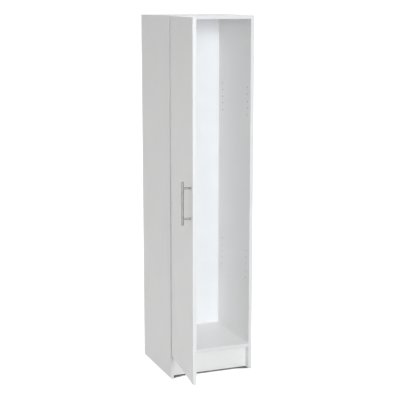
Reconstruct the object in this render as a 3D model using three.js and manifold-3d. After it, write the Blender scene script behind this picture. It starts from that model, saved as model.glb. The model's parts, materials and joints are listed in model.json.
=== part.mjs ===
// Broom cupboard: a tall narrow cabinet of white faced board with one full overlay door.
// The door hangs at the left on three concealed cup hinges and is shown standing open.
// Millimetres, +Z up, +X to the right as seen from the front, the front faces -Y.
// The origin is on the floor, at the centre of the kick board's underside.
import * as THREE from "three";
import { mergeVertices } from "three/addons/utils/BufferGeometryUtils.js";
import Module from "manifold-3d";

const wasm = await Module();
wasm.setup();

// Carcass
const cupboardWidth = 406.4;
const cupboardHeight = 1651;
const sideDepth = 381;
const boardThickness = 15.9;
const kickHeight = 106.6;
const kickRecess = 35;
const backThickness = 3.2;
const backRebateWidth = 8;
const backTopDrop = 1;

// Door
const doorThickness = 15.9;
const doorSideReveal = 1.6;
const doorTopReveal = 1.6;
const doorBottomHeight = 113;
const doorGap = 2.5;
const doorEdgeEase = 1;
const doorOpenDegrees = 97;

// Hinge axis, seen from the door: its depth below the inner face and the corner's swing room
const hingeAxisDepth = 10.1;
const hingeCornerClearance = 0.42;
const hingeEndDistance = 100;

// Shelf pin holes
const pinHoleRadius = 2.5;
const pinHoleDepth = 10;
const pinHolePitch = 32;
const pinHolesInGroup = 5;
const pinFrontSetback = 37;
const pinBackSetback = 53;
const lowerPinGroupHeight = 500;
const upperPinGroupHeight = 1263;

// Cam fittings
const camRadius = 7.2;
const camHeight = 12;
const camDistance = 34;
const camFrontSetback = 60;
const camBackSetback = 60;
const camChannelRadius = 3.4;
const camRecessWidth = 1.6;
const camRecessLength = 8;
const camRecessDepth = 1.5;
const camBoltShankRadius = 3.2;
const camBoltNeckRadius = 1.6;
const camBoltHeadRadius = 2.8;
const camBoltHeadLength = 3;
const camBoltNeckLength = 4;
const camBoltThreadRadius = 2.5;
const camBoltThreadLength = 11;
const camBoltBoreRadius = 4;

// Handle
const handleBarRadius = 5;
const handleBarLength = 184;
const handleBarEndEase = 0.8;
const handlePostSpacing = 128;
const handlePostRadius = 4;
const handleStandOff = 34;
const handleEdgeDistance = 38;
const handleHeight = 890;
const handleScrewRadius = 2;
const handleScrewEngagement = 9;
const handleScrewHeadRadius = 4.4;
const handleScrewHeadHeight = 2;

// Door bumpers
const bumperRadius = 4;
const bumperEndDistance = 40;

// Hinge cup
const cupRadius = 17.2;
const cupWall = 0.9;
const cupDepth = 11.3;
const cupFloor = 0.8;
const cupEdgeDistance = 22.5;
const cupFlangeThickness = 1.2;
const cupFlangeRadius = 19;
const cupNotchHalfWidth = 7.7;
const cupScrewSpacing = 45;
const cupScrewOffset = 9.5;
const cupEarRadius = 6;
const cupLugThickness = 1.6;
const cupLugWidth = 3.4;
const cupPinRadius = 1;

// Hinge links: the cup pin seen from the door's edge and face, and how far out the arm pin lies
const outerLink = { pinFromEdge: 11.2, pinDepth: 3.5, reach: 19.3, kneeShare: 0.75, kneeBulge: 1.4 };
const innerLink = { pinFromEdge: 11.42, pinDepth: 3.3, reach: 21.8, kneeShare: 0.6, kneeBulge: 0.6 };
const linkWidth = 5;
const linkHalfThickness = 0.6;
const linkArmEyeRadius = 2;
const linkCupEyeRadius = 1.4;
const armPinRadius = 1;

// Hinge arm
const armSheet = 1.3;
const armNoseRadius = 2.4;
const armBodyHeight = 11;
const armSkirtHeight = 3;
const armNeckStart = 10;
const armLength = 62;
const armWebEnd = -6;
const armNeckLow = 4;

// Hinge plate
const plateWingThickness = 2;
const plateWingHalfLength = 9;
const plateWingReach = 22;
const plateScrewSpacing = 32;
const plateSetback = 37;
const plateBlockStart = 14;
const plateBlockEnd = 60;

// Screws
const woodScrewRadius = 2;
const woodScrewLength = 12;
const cupScrewLength = 10;
const woodScrewHeadRadius = 3.8;
const woodScrewHeadHeight = 2;
const clampScrewRadius = 2.6;
const clampScrewLength = 9;
const clampScrewHeadRadius = 4.6;
const clampScrewHeadHeight = 2.2;
const clampScrewSetback = 46;
const screwTipLength = 1.5;
const driveSlotWidth = 1;
const driveSlotDepth = 1;
const headRimShare = 0.55;
const headCrownShare = 0.7;
const driveSlotShare = 0.6;

// Clearances and cuts
const seatGap = 0.3;
const overrun = 1;

// Round counts
const fineSides = 32;
const roundSides = 16;
const pinHoleSides = 12;
const smallSides = 8;

// Places worked out from the sizes above
const sideFace = cupboardWidth / 2;
const innerFace = sideFace - boardThickness;
const frontY = -(kickRecess + boardThickness / 2);
const backY = frontY + sideDepth;
const innerBackY = backY - backThickness;
const topUnderside = cupboardHeight - boardThickness;
const doorWidth = cupboardWidth - 2 * doorSideReveal;
const doorTopHeight = cupboardHeight - doorTopReveal;
const hingeAxisFromEdge = Math.sqrt(
  (doorGap + hingeAxisDepth - hingeCornerClearance) ** 2 - hingeAxisDepth ** 2,
);
const hingeAxisX = -sideFace + doorSideReveal + hingeAxisFromEdge;
const hingeAxisY = frontY - doorGap - hingeAxisDepth;
const openAngle = THREE.MathUtils.degToRad(doorOpenDegrees);
const cupCavityRadius = cupRadius - cupWall;
const linkLayerStart = seatGap;
const armInnerHalf = linkLayerStart + linkWidth + seatGap;
const armOuterHalf = armInnerHalf + armSheet;

const finishes = {
  board: new THREE.MeshStandardMaterial({ color: 0xf3f3f2, roughness: 0.42, metalness: 0 }),
  hardboard: new THREE.MeshStandardMaterial({ color: 0xf1f2f3, roughness: 0.5, metalness: 0 }),
  handle: new THREE.MeshStandardMaterial({ color: 0x9c9b98, roughness: 0.34, metalness: 1 }),
  nickel: new THREE.MeshStandardMaterial({ color: 0xc4c3bf, roughness: 0.28, metalness: 1 }),
  screw: new THREE.MeshStandardMaterial({ color: 0xb5b4b0, roughness: 0.35, metalness: 1 }),
  zinc: new THREE.MeshStandardMaterial({ color: 0xa6a8aa, roughness: 0.5, metalness: 0.9 }),
  bumper: new THREE.MeshStandardMaterial({ color: 0xe9ebec, roughness: 0.15, metalness: 0 }),
};

// A closed geometry as a solid that can be joined and cut
function solidOf(geometry) {
  geometry.deleteAttribute("normal");
  geometry.deleteAttribute("uv");
  const merged = mergeVertices(geometry);
  return new wasm.Manifold(new wasm.Mesh({
    numProp: 3,
    vertProperties: new Float32Array(merged.attributes.position.array),
    triVerts: new Uint32Array(merged.index.array),
  }));
}

function geometryOf(solid) {
  const mesh = solid.getMesh();
  const geometry = new THREE.BufferGeometry();
  geometry.setAttribute("position", new THREE.BufferAttribute(new Float32Array(mesh.vertProperties), 3));
  geometry.setIndex(new THREE.BufferAttribute(new Uint32Array(mesh.triVerts), 1));
  geometry.computeVertexNormals();
  return geometry;
}

function joined(solids) {
  return solids.reduce((whole, piece) => whole.add(piece));
}

function cutBy(solid, cutters) {
  return cutters.reduce((rest, cutter) => rest.subtract(cutter), solid);
}

function block([x0, x1], [y0, y1], [z0, z1]) {
  const geometry = new THREE.BoxGeometry(x1 - x0, y1 - y0, z1 - z0);
  geometry.translate((x0 + x1) / 2, (y0 + y1) / 2, (z0 + z1) / 2);
  return solidOf(geometry);
}

// Turns a geometry that runs along +Y so that it runs along the named axis
function alignTo(geometry, axis) {
  if (axis === "x") geometry.rotateZ(-Math.PI / 2);
  if (axis === "z") geometry.rotateX(Math.PI / 2);
  return geometry;
}

// A round rod along an axis from low to high; centre gives its other two coordinates
function rod(axis, radius, low, high, centre, sides = roundSides) {
  const geometry = alignTo(new THREE.CylinderGeometry(radius, radius, high - low, sides), axis);
  const place = new THREE.Vector3(...centre);
  place[axis] = (low + high) / 2;
  return solidOf(geometry.translate(place.x, place.y, place.z));
}

// A turned piece: a profile of radius and distance along the axis, from the axis to the axis
function turned(axis, profile, centre, direction = 1, sides = smallSides) {
  const points = profile.map(([radius, along]) => new THREE.Vector2(radius, along));
  const geometry = new THREE.LatheGeometry(points, sides);
  if (direction < 0) geometry.rotateX(Math.PI);
  alignTo(geometry, axis);
  return solidOf(geometry.translate(...centre));
}

// An upright prism of an outline drawn in plan, between two heights
function prism(points, low, high) {
  const shape = new THREE.Shape(points.map(([x, y]) => new THREE.Vector2(x, y)));
  const geometry = new THREE.ExtrudeGeometry(shape, { depth: high - low, bevelEnabled: false });
  return solidOf(geometry.translate(0, 0, low));
}

function addPart(group, name, solid, finish) {
  const mesh = new THREE.Mesh(geometryOf(solid), finish);
  mesh.name = name;
  group.add(mesh);
  return mesh;
}

// Fasteners

// A screw whose head sits at the start; the along axis points into the work
function screw(axis, centre, direction, sizes) {
  const { radius, length, headRadius, headHeight } = sizes;
  const body = turned(axis, [
    [0, -headHeight],
    [headRadius * headRimShare, -headHeight],
    [headRadius, -headHeight * (1 - headCrownShare)],
    [headRadius, 0],
    [radius, 0],
    [radius, length - screwTipLength],
    [0, length],
  ], centre, direction);
  const half = headRadius * driveSlotShare;
  const top = -headHeight * direction;
  const floor = top + driveSlotDepth * direction;
  const past = top - overrun * direction;
  const deep = [Math.min(floor, past), Math.max(floor, past)];
  const thin = [-driveSlotWidth / 2, driveSlotWidth / 2];
  const long = [-half, half];
  const slots = axis === "x"
    ? [block(deep, thin, long), block(deep, long, thin)]
    : [block(thin, deep, long), block(long, deep, thin)];
  return cutBy(body, slots.map((slot) => slot.translate(centre)));
}

const woodScrew = {
  radius: woodScrewRadius,
  length: woodScrewLength,
  headRadius: woodScrewHeadRadius,
  headHeight: woodScrewHeadHeight,
};
const cupScrew = { ...woodScrew, length: cupScrewLength };
const clampScrew = {
  radius: clampScrewRadius,
  length: clampScrewLength,
  headRadius: clampScrewHeadRadius,
  headHeight: clampScrewHeadHeight,
};
const handleScrew = {
  radius: handleScrewRadius,
  length: doorThickness + 2 * seatGap + handleScrewEngagement,
  headRadius: handleScrewHeadRadius,
  headHeight: handleScrewHeadHeight,
};

// Carcass

// The cam fittings' places: which board, which side and which end of it
const camPlaces = ["top", "bottom"].flatMap((board) => ["left", "right"].flatMap((side) => [
  { board, side, end: "front", y: frontY + camFrontSetback },
  { board, side, end: "back", y: innerBackY - camBackSetback },
])).map((place) => ({
  ...place,
  sign: place.side === "left" ? -1 : 1,
  z: place.board === "top" ? topUnderside + boardThickness / 2 : kickHeight + boardThickness / 2,
}));

const hingeSet = [
  { name: "lower", z: doorBottomHeight + hingeEndDistance },
  { name: "middle", z: (doorBottomHeight + doorTopHeight) / 2 },
  { name: "upper", z: doorTopHeight - hingeEndDistance },
];

// The span of X from a side's inner face to a depth in its board
function intoSide(sign, depth) {
  const face = sign * innerFace;
  const far = face + sign * depth;
  const near = face - sign * overrun;
  return [Math.min(near, far), Math.max(near, far)];
}

function pinHoles(sign) {
  const columns = [frontY + pinFrontSetback, backY - pinBackSetback];
  const heights = [lowerPinGroupHeight, upperPinGroupHeight];
  const [low, high] = intoSide(sign, pinHoleDepth);
  const holes = [];
  for (const y of columns) {
    for (const middle of heights) {
      for (let index = 0; index < pinHolesInGroup; index += 1) {
        const z = middle + (index - (pinHolesInGroup - 1) / 2) * pinHolePitch;
        holes.push(rod("x", pinHoleRadius, low, high, [0, y, z], pinHoleSides));
      }
    }
  }
  return holes;
}

function boltHolesInSide(sign) {
  const [low, high] = intoSide(sign, camBoltThreadLength + seatGap);
  const radius = camBoltThreadRadius + seatGap;
  return camPlaces
    .filter((place) => place.sign === sign)
    .map((place) => rod("x", radius, low, high, [0, place.y, place.z], smallSides));
}

function plateScrewHoles() {
  const [low, high] = intoSide(-1, woodScrewLength - plateWingThickness + seatGap);
  const radius = woodScrewRadius + seatGap;
  const y = frontY + plateSetback;
  return hingeSet.flatMap(({ z }) => [-1, 1].map((way) => (
    rod("x", radius, low, high, [0, y, z + way * plateScrewSpacing / 2], smallSides)
  )));
}

function sidePanel(sign) {
  const span = [Math.min(sign * innerFace, sign * sideFace), Math.max(sign * innerFace, sign * sideFace)];
  const board = block(span, [frontY, backY], [0, cupboardHeight]);
  const [low, high] = intoSide(sign, backRebateWidth);
  const rebate = block([low, high], [innerBackY, backY + overrun], [-overrun, cupboardHeight + overrun]);
  const plateHoles = sign < 0 ? plateScrewHoles() : [];
  return cutBy(board, [rebate, ...pinHoles(sign), ...boltHolesInSide(sign), ...plateHoles]);
}

// A board between the sides; its cams open upwards in the top and downwards in the bottom
function crossPanel(boardName) {
  const underside = boardName === "top" ? topUnderside : kickHeight;
  const upper = underside + boardThickness;
  const board = block([-innerFace, innerFace], [frontY, innerBackY], [underside, upper]);
  const depth = camHeight + 2 * seatGap;
  const [low, high] = boardName === "top"
    ? [upper - depth, upper + overrun]
    : [underside - overrun, underside + depth];
  const cuts = camPlaces.filter((place) => place.board === boardName).flatMap(({ sign, y, z }) => {
    const x = sign * (innerFace - camDistance);
    const end = sign * (innerFace + overrun);
    return [
      rod("z", camRadius + seatGap, low, high, [x, y, 0]),
      rod("x", camBoltBoreRadius, Math.min(x, end), Math.max(x, end), [0, y, z], smallSides),
    ];
  });
  return cutBy(board, cuts);
}

function kickBoard() {
  const low = frontY + kickRecess;
  return block([-innerFace, innerFace], [low, low + boardThickness], [0, kickHeight]);
}

function backPanel() {
  const half = innerFace + backRebateWidth - seatGap;
  return block([-half, half], [innerBackY, backY], [kickHeight, cupboardHeight - backTopDrop]);
}

// Cam lock: a drum with a channel for the bolt's head and a cross on its open face
function camLock({ board, sign, y, z }) {
  const x = sign * (innerFace - camDistance);
  const up = board === "top" ? 1 : -1;
  const face = z + up * (boardThickness / 2 - seatGap);
  const floor = face - up * camHeight;
  const drum = rod("z", camRadius, Math.min(face, floor), Math.max(face, floor), [x, y, 0]);
  const end = x + sign * (camRadius + overrun);
  const start = x - sign * camBoltHeadLength;
  const [low, high] = [Math.min(start, end), Math.max(start, end)];
  const channel = rod("x", camChannelRadius, low, high, [0, y, z], smallSides);
  const inner = face - up * camRecessDepth;
  const outer = face + up * overrun;
  const deep = [Math.min(inner, outer), Math.max(inner, outer)];
  const halfWidth = camRecessWidth / 2;
  const halfLength = camRecessLength / 2;
  const crossArms = [
    block([x - halfLength, x + halfLength], [y - halfWidth, y + halfWidth], deep),
    block([x - halfWidth, x + halfWidth], [y - halfLength, y + halfLength], deep),
  ];
  return cutBy(drum, [channel, ...crossArms]);
}

// Cam bolt: threaded into the side, with a plain shank, a neck and a head inside the cam
function camBolt({ sign, y, z }) {
  const headEnd = camDistance + camBoltHeadLength / 2;
  const headStart = headEnd - camBoltHeadLength;
  const neckStart = headStart - camBoltNeckLength;
  return turned("x", [
    [0, -camBoltThreadLength],
    [camBoltThreadRadius, -camBoltThreadLength + screwTipLength],
    [camBoltThreadRadius, seatGap],
    [camBoltShankRadius, seatGap],
    [camBoltShankRadius, neckStart],
    [camBoltNeckRadius, neckStart],
    [camBoltNeckRadius, headStart],
    [camBoltHeadRadius, headStart],
    [camBoltHeadRadius, headEnd],
    [0, headEnd],
  ], [sign * innerFace, y, z], -sign);
}

// Door, drawn closed around the hinge axis: the edge distance runs along +X, the depth towards -Y

function doorX(fromEdge) {
  return fromEdge - hingeAxisFromEdge;
}

function doorY(depth) {
  return hingeAxisDepth - depth;
}

// The span of Y between two depths in the door
function doorSpan(depthA, depthB) {
  return [doorY(Math.max(depthA, depthB)), doorY(Math.min(depthA, depthB))];
}

const cupScrewFromEdge = cupEdgeDistance + cupScrewOffset;
const handleFromEdge = doorWidth - handleEdgeDistance;
const handlePostHeights = [handleHeight - handlePostSpacing / 2, handleHeight + handlePostSpacing / 2];

function doorPanel() {
  const [low, high] = doorSpan(0, doorThickness);
  const [left, right] = [doorX(0), doorX(doorWidth)];
  const ease = doorEdgeEase;
  const board = prism([
    [left + ease, low], [right - ease, low], [right, low + ease], [right, high - ease],
    [right - ease, high], [left + ease, high], [left, high - ease], [left, low + ease],
  ], doorBottomHeight, doorTopHeight);
  const cupBore = doorSpan(-overrun, cupDepth + seatGap);
  const screwBore = doorSpan(-overrun, cupScrewLength + seatGap);
  const cuts = hingeSet.flatMap(({ z }) => [
    rod("y", cupRadius + seatGap, ...cupBore, [doorX(cupEdgeDistance), 0, z], fineSides),
    ...[-1, 1].map((way) => rod(
      "y", woodScrewRadius + seatGap, ...screwBore,
      [doorX(cupScrewFromEdge), 0, z + way * cupScrewSpacing / 2], smallSides,
    )),
  ]);
  const through = doorSpan(-overrun, doorThickness + overrun);
  const handleBores = handlePostHeights.map((z) => (
    rod("y", handleScrewRadius + seatGap, ...through, [doorX(handleFromEdge), 0, z], smallSides)
  ));
  return cutBy(board, [...cuts, ...handleBores]);
}

// Handle: a bar across two posts, each held by a screw from the door's inner face

const barDepth = doorThickness + handleStandOff;

function handleBar() {
  const half = handleBarLength / 2;
  const rim = handleBarRadius - handleBarEndEase;
  return turned("z", [
    [0, -half],
    [rim, -half],
    [handleBarRadius, -half + handleBarEndEase],
    [handleBarRadius, half - handleBarEndEase],
    [rim, half],
    [0, half],
  ], [doorX(handleFromEdge), doorY(barDepth), handleHeight], 1, roundSides);
}

function handlePost(z) {
  const place = [doorX(handleFromEdge), doorY(barDepth), z];
  const foot = doorThickness + seatGap;
  const post = rod("y", handlePostRadius, ...doorSpan(foot, barDepth), place);
  const saddle = rod("z", handleBarRadius + seatGap, z - handleBarRadius, z + handleBarRadius, place);
  const boreSpan = doorSpan(foot - overrun, foot + handleScrewEngagement + seatGap);
  const bore = rod("y", handleScrewRadius + seatGap, ...boreSpan, place, smallSides);
  return cutBy(post, [saddle, bore]);
}

function doorScrew(fromEdge, z, standing, sizes) {
  return screw("y", [doorX(fromEdge), doorY(-seatGap - standing), z], -1, sizes);
}

function doorBumper(z) {
  const height = doorGap - 2 * seatGap;
  const fromEdge = cupboardWidth - boardThickness / 2 - doorSideReveal;
  return turned("y", [
    [0, 0],
    [bumperRadius, 0],
    [bumperRadius, height * headRimShare],
    [bumperRadius * headCrownShare, height],
    [0, height],
  ], [doorX(fromEdge), doorY(-seatGap), z], 1, roundSides);
}

// Hinge cup: a drum sunk in the door with a flange, two ears and two lugs beside the links
function hingeCup(z) {
  const x = doorX(cupEdgeDistance);
  const place = [x, 0, z];
  const flangeTop = -seatGap - cupFlangeThickness;
  const flangeSpan = doorSpan(flangeTop, -seatGap);
  const earX = doorX(cupScrewFromEdge);
  const earRise = cupScrewSpacing / 2;
  const ears = [-1, 1].map((way) => rod("y", cupEarRadius, ...flangeSpan, [earX, 0, z + way * earRise]));
  const strap = block([earX - cupEarRadius, earX + cupEarRadius], flangeSpan, [z - earRise, z + earRise]);
  const flange = joined([rod("y", cupFlangeRadius, ...flangeSpan, place, fineSides), strap, ...ears]);
  const drum = rod("y", cupRadius, ...doorSpan(flangeTop, cupDepth), place, fineSides);
  const hollowSpan = doorSpan(flangeTop - overrun, cupDepth - cupFloor);
  const hollow = rod("y", cupCavityRadius, ...hollowSpan, place, fineSides);
  const notchWidth = [z - cupNotchHalfWidth, z + cupNotchHalfWidth];
  const notch = block([x - cupFlangeRadius - overrun, x], doorSpan(flangeTop - overrun, 0), notchWidth);
  const screwHoles = [-1, 1].map((way) => rod(
    "y", woodScrewRadius + seatGap, flangeSpan[0] - overrun, flangeSpan[1] + overrun,
    [earX, 0, z + way * earRise], smallSides,
  ));
  const shell = cutBy(joined([flange, drum]), [hollow, notch, ...screwHoles]);
  return joined([shell, cupLug(outerLink, z, -1), cupLug(innerLink, z, 1)]);
}

// A lug that stands on the cup's floor beside a link, with the link's pin as a short stub
function cupLug(link, z, way) {
  const x = doorX(link.pinFromEdge);
  const near = z + way * armInnerHalf;
  const far = near + way * cupLugThickness;
  const span = [Math.min(near, far), Math.max(near, far)];
  const top = link.pinDepth - cupLugWidth / 2;
  const half = cupLugWidth / 2;
  const post = block([x - half, x + half], doorSpan(link.pinDepth, cupDepth - cupFloor / 2), span);
  const round = rod("z", half, ...span, [x, doorY(top + half), 0], smallSides);
  const stubStart = z + way * (linkLayerStart + linkWidth + seatGap / 2);
  const stubSpan = [Math.min(stubStart, far), Math.max(stubStart, far)];
  const stub = rod("z", cupPinRadius, ...stubSpan, [x, doorY(link.pinDepth), 0], smallSides);
  return joined([post, round, stub]);
}

// Hinge links. Each arm pin lies on the line that halves the angle between the cup pin's
// closed and shown places, so that the link's end meets the cup pin at both

function linkGeometry({ pinFromEdge, pinDepth, reach }) {
  const closed = new THREE.Vector2(doorX(pinFromEdge), doorY(pinDepth));
  const open = closed.clone().rotateAround(new THREE.Vector2(), -openAngle);
  const halfway = closed.angle() - openAngle / 2;
  const armPin = new THREE.Vector2(Math.cos(halfway), Math.sin(halfway)).multiplyScalar(reach);
  const way = open.sub(armPin);
  return { armPin, length: way.length(), shownAngle: way.angle() };
}

// A flat strip in plan between two points
function strip([x0, y0], [x1, y1], halfThickness, low, high) {
  const way = new THREE.Vector2(x1 - x0, y1 - y0).normalize().multiplyScalar(halfThickness);
  const [sx, sy] = [-way.y, way.x];
  return prism([[x0 - sx, y0 - sy], [x1 - sx, y1 - sy], [x1 + sx, y1 + sy], [x0 + sx, y0 + sy]], low, high);
}

// A cranked link drawn from its arm eye at the origin towards its cup eye on +X
function hingeLink(link, way) {
  const { length } = linkGeometry(link);
  const near = way * linkLayerStart;
  const far = way * (linkLayerStart + linkWidth);
  const [low, high] = [Math.min(near, far), Math.max(near, far)];
  const knee = [length * link.kneeShare, link.kneeBulge];
  const body = joined([
    rod("z", linkArmEyeRadius, low, high, [0, 0, 0]),
    strip([0, 0], knee, linkHalfThickness, low, high),
    rod("z", linkHalfThickness, low, high, [...knee, 0], smallSides),
    strip(knee, [length, 0], linkHalfThickness, low, high),
    rod("z", linkCupEyeRadius, low, high, [length, 0, 0]),
  ]);
  const boreRadius = armPinRadius + seatGap;
  return body.subtract(rod("z", boreRadius, low - overrun, high + overrun, [0, 0, 0], smallSides));
}

// Hinge arm, drawn in plan around the hinge axis: a folded channel with a nose that carries
// the two link pins. The height is measured from the side panel's inner face

function armX(height) {
  return -innerFace + height - hingeAxisX;
}

function armY(setback) {
  return frontY + setback - hingeAxisY;
}

function hingeArm() {
  const outer = linkGeometry(outerLink).armPin;
  const inner = linkGeometry(innerLink).armPin;
  const noseLow = Math.min(outer.x, inner.x) - armNoseRadius;
  const noseHigh = Math.max(outer.x, inner.x) + armNoseRadius;
  const noseY = (outer.y + inner.y) / 2;
  const outline = [
    [noseLow, noseY], [armX(armNeckLow), armY(0)], [armX(armSkirtHeight), armY(armNeckStart)],
    [armX(armSkirtHeight), armY(armLength)], [armX(armBodyHeight), armY(armLength)],
    [armX(armBodyHeight), armY(armNeckStart)], [noseHigh, armY(armWebEnd / 2)], [noseHigh, noseY],
  ];
  const cheeks = joined([
    prism(outline.reverse(), -armOuterHalf, armOuterHalf),
    ...[outer, inner].map((pin) => rod("z", armNoseRadius, -armOuterHalf, armOuterHalf, [pin.x, pin.y, 0])),
  ]);
  const farX = noseHigh + overrun;
  const webUnder = armX(armBodyHeight - armSheet);
  const channel = prism([
    [armX(0), armY(armLength) + overrun],
    [armX(0), outer.y - armNoseRadius - overrun],
    [farX, outer.y - armNoseRadius - overrun],
    [farX, armY(armWebEnd)],
    [noseHigh - armSheet, armY(armWebEnd)],
    [noseHigh - armSheet, armY(armWebEnd / 2)],
    [webUnder, armY(armNeckStart) + armSheet / 2],
    [webUnder, armY(armLength) + overrun],
  ], -armInnerHalf, armInnerHalf);
  const screwHole = rod(
    "x", clampScrewRadius + seatGap, webUnder - overrun, armX(armBodyHeight) + overrun,
    [0, armY(clampScrewSetback), 0],
  );
  const pinEnd = armInnerHalf + armSheet / 2;
  const pins = [
    rod("z", armPinRadius, -pinEnd, -linkLayerStart, [outer.x, outer.y, 0], smallSides),
    rod("z", armPinRadius, linkLayerStart, pinEnd, [inner.x, inner.y, 0], smallSides),
  ];
  return joined([cutBy(cheeks, [channel, screwHole]), ...pins]);
}

// Hinge plate: two wings screwed to the side and a raised block that the arm straddles
function hingePlate() {
  const top = armX(armBodyHeight - armSheet - seatGap);
  const blockHalf = armInnerHalf - seatGap;
  const middle = armY(plateSetback);
  const [near, wingTop] = [armX(0), armX(plateWingThickness)];
  const raised = block([near, top], [armY(plateBlockStart), armY(plateBlockEnd)], [-blockHalf, blockHalf]);
  const wing = block(
    [near, wingTop], [middle - plateWingHalfLength, middle + plateWingHalfLength],
    [-plateWingReach, plateWingReach],
  );
  const holes = [-1, 1].map((way) => rod(
    "x", woodScrewRadius + seatGap, near - overrun, wingTop + overrun,
    [0, middle, way * plateScrewSpacing / 2], smallSides,
  ));
  const clampBoreEnd = armX(armBodyHeight) + seatGap - clampScrewLength - seatGap;
  const clampBore = rod(
    "x", clampScrewRadius + seatGap, clampBoreEnd, top + overrun,
    [0, armY(clampScrewSetback), 0], smallSides,
  );
  return cutBy(joined([raised, wing]), [...holes, clampBore]);
}

// The moving group turns about the hinge axis; the fixed hinge pieces share its axis unturned
function addHinge(fixedGroup, doorGroup, { name, z }) {
  const fixed = new THREE.Group();
  fixed.position.set(hingeAxisX, hingeAxisY, z);
  fixedGroup.add(fixed);
  addPart(fixed, `${name}_hinge_plate`, hingePlate(), finishes.nickel);
  addPart(fixed, `${name}_hinge_arm`, hingeArm(), finishes.nickel);
  for (const [linkName, link, way] of [["outer", outerLink, -1], ["inner", innerLink, 1]]) {
    const { armPin, shownAngle } = linkGeometry(link);
    const mesh = addPart(fixed, `${name}_hinge_${linkName}_link`, hingeLink(link, way), finishes.nickel);
    mesh.position.set(armPin.x, armPin.y, 0);
    mesh.rotation.z = shownAngle;
  }
  const headX = armX(armBodyHeight) + seatGap;
  const clamp = screw("x", [headX, armY(clampScrewSetback), 0], -1, clampScrew);
  addPart(fixed, `${name}_hinge_clamp_screw`, clamp, finishes.screw);
  addPart(doorGroup, `${name}_hinge_cup`, hingeCup(z), finishes.nickel);
  for (const [place, way] of [["lower", -1], ["upper", 1]]) {
    const plateRise = way * plateScrewSpacing / 2;
    const plateHead = [armX(plateWingThickness), armY(plateSetback), plateRise];
    const plateScrew = screw("x", plateHead, -1, woodScrew);
    addPart(fixed, `${name}_hinge_plate_screw_${place}`, plateScrew, finishes.screw);
    const cupRise = z + way * cupScrewSpacing / 2;
    const sunkScrew = doorScrew(cupScrewFromEdge, cupRise, cupFlangeThickness, cupScrew);
    addPart(doorGroup, `${name}_hinge_cup_screw_${place}`, sunkScrew, finishes.screw);
  }
}

function addCarcass(group) {
  addPart(group, "left_side_panel", sidePanel(-1), finishes.board);
  addPart(group, "right_side_panel", sidePanel(1), finishes.board);
  addPart(group, "top_panel", crossPanel("top"), finishes.board);
  addPart(group, "bottom_panel", crossPanel("bottom"), finishes.board);
  addPart(group, "kick_board", kickBoard(), finishes.board);
  addPart(group, "back_panel", backPanel(), finishes.hardboard);
  for (const place of camPlaces) {
    const name = `${place.board}_${place.side}_${place.end}`;
    addPart(group, `${name}_cam_lock`, camLock(place), finishes.zinc);
    addPart(group, `${name}_cam_bolt`, camBolt(place), finishes.screw);
  }
}

function addDoor(doorGroup) {
  addPart(doorGroup, "door_panel", doorPanel(), finishes.board);
  addPart(doorGroup, "handle_bar", handleBar(), finishes.handle);
  for (const [index, place] of ["lower", "upper"].entries()) {
    const z = handlePostHeights[index];
    addPart(doorGroup, `handle_post_${place}`, handlePost(z), finishes.handle);
    const longScrew = doorScrew(handleFromEdge, z, 0, handleScrew);
    addPart(doorGroup, `handle_screw_${place}`, longScrew, finishes.screw);
  }
  const lowerBumper = doorBumper(doorBottomHeight + bumperEndDistance);
  const upperBumper = doorBumper(doorTopHeight - bumperEndDistance);
  addPart(doorGroup, "door_bumper_lower", lowerBumper, finishes.bumper);
  addPart(doorGroup, "door_bumper_upper", upperBumper, finishes.bumper);
}

const broomCupboard = new THREE.Group();
const doorGroup = new THREE.Group();
doorGroup.position.set(hingeAxisX, hingeAxisY, 0);
doorGroup.rotation.z = -openAngle;
broomCupboard.add(doorGroup);
addCarcass(broomCupboard);
addDoor(doorGroup);
for (const hinge of hingeSet) {
  addHinge(broomCupboard, doorGroup, hinge);
}

export default broomCupboard;
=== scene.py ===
"""Broom cupboard: the finished look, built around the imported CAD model.

Everything is in metres in the CAD's own frame: +Z up, the front faces -Y, the origin on the floor.
The door's pieces are shaped as if it were shut, around its hinge axis, and are then swung open.
"""

import json
import logging
import math
from abc import ABC, abstractmethod
from collections.abc import Callable, Iterable, Sequence
from dataclasses import dataclass
from enum import Enum, IntEnum

import bmesh
import bpy
from mathutils import Matrix, Vector

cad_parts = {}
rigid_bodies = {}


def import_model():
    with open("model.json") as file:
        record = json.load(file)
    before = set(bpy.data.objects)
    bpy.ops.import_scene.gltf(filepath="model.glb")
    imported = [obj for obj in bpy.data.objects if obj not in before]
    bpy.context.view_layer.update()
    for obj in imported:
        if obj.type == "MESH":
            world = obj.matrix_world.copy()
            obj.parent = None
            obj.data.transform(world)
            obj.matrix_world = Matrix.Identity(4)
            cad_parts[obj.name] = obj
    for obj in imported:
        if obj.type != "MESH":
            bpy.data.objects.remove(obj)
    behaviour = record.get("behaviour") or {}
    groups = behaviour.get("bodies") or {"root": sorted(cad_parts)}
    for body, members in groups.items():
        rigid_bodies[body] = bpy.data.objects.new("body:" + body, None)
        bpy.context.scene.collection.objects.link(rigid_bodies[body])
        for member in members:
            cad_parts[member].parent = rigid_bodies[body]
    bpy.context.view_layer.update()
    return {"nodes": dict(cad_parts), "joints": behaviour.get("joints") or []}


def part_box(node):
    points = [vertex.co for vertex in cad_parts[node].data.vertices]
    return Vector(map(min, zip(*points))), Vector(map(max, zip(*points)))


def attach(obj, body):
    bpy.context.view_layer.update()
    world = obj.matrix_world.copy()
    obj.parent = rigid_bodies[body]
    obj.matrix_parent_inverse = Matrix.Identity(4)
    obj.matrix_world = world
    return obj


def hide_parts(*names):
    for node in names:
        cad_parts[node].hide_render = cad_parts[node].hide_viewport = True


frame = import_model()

log = logging.getLogger("broom_cupboard")

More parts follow.
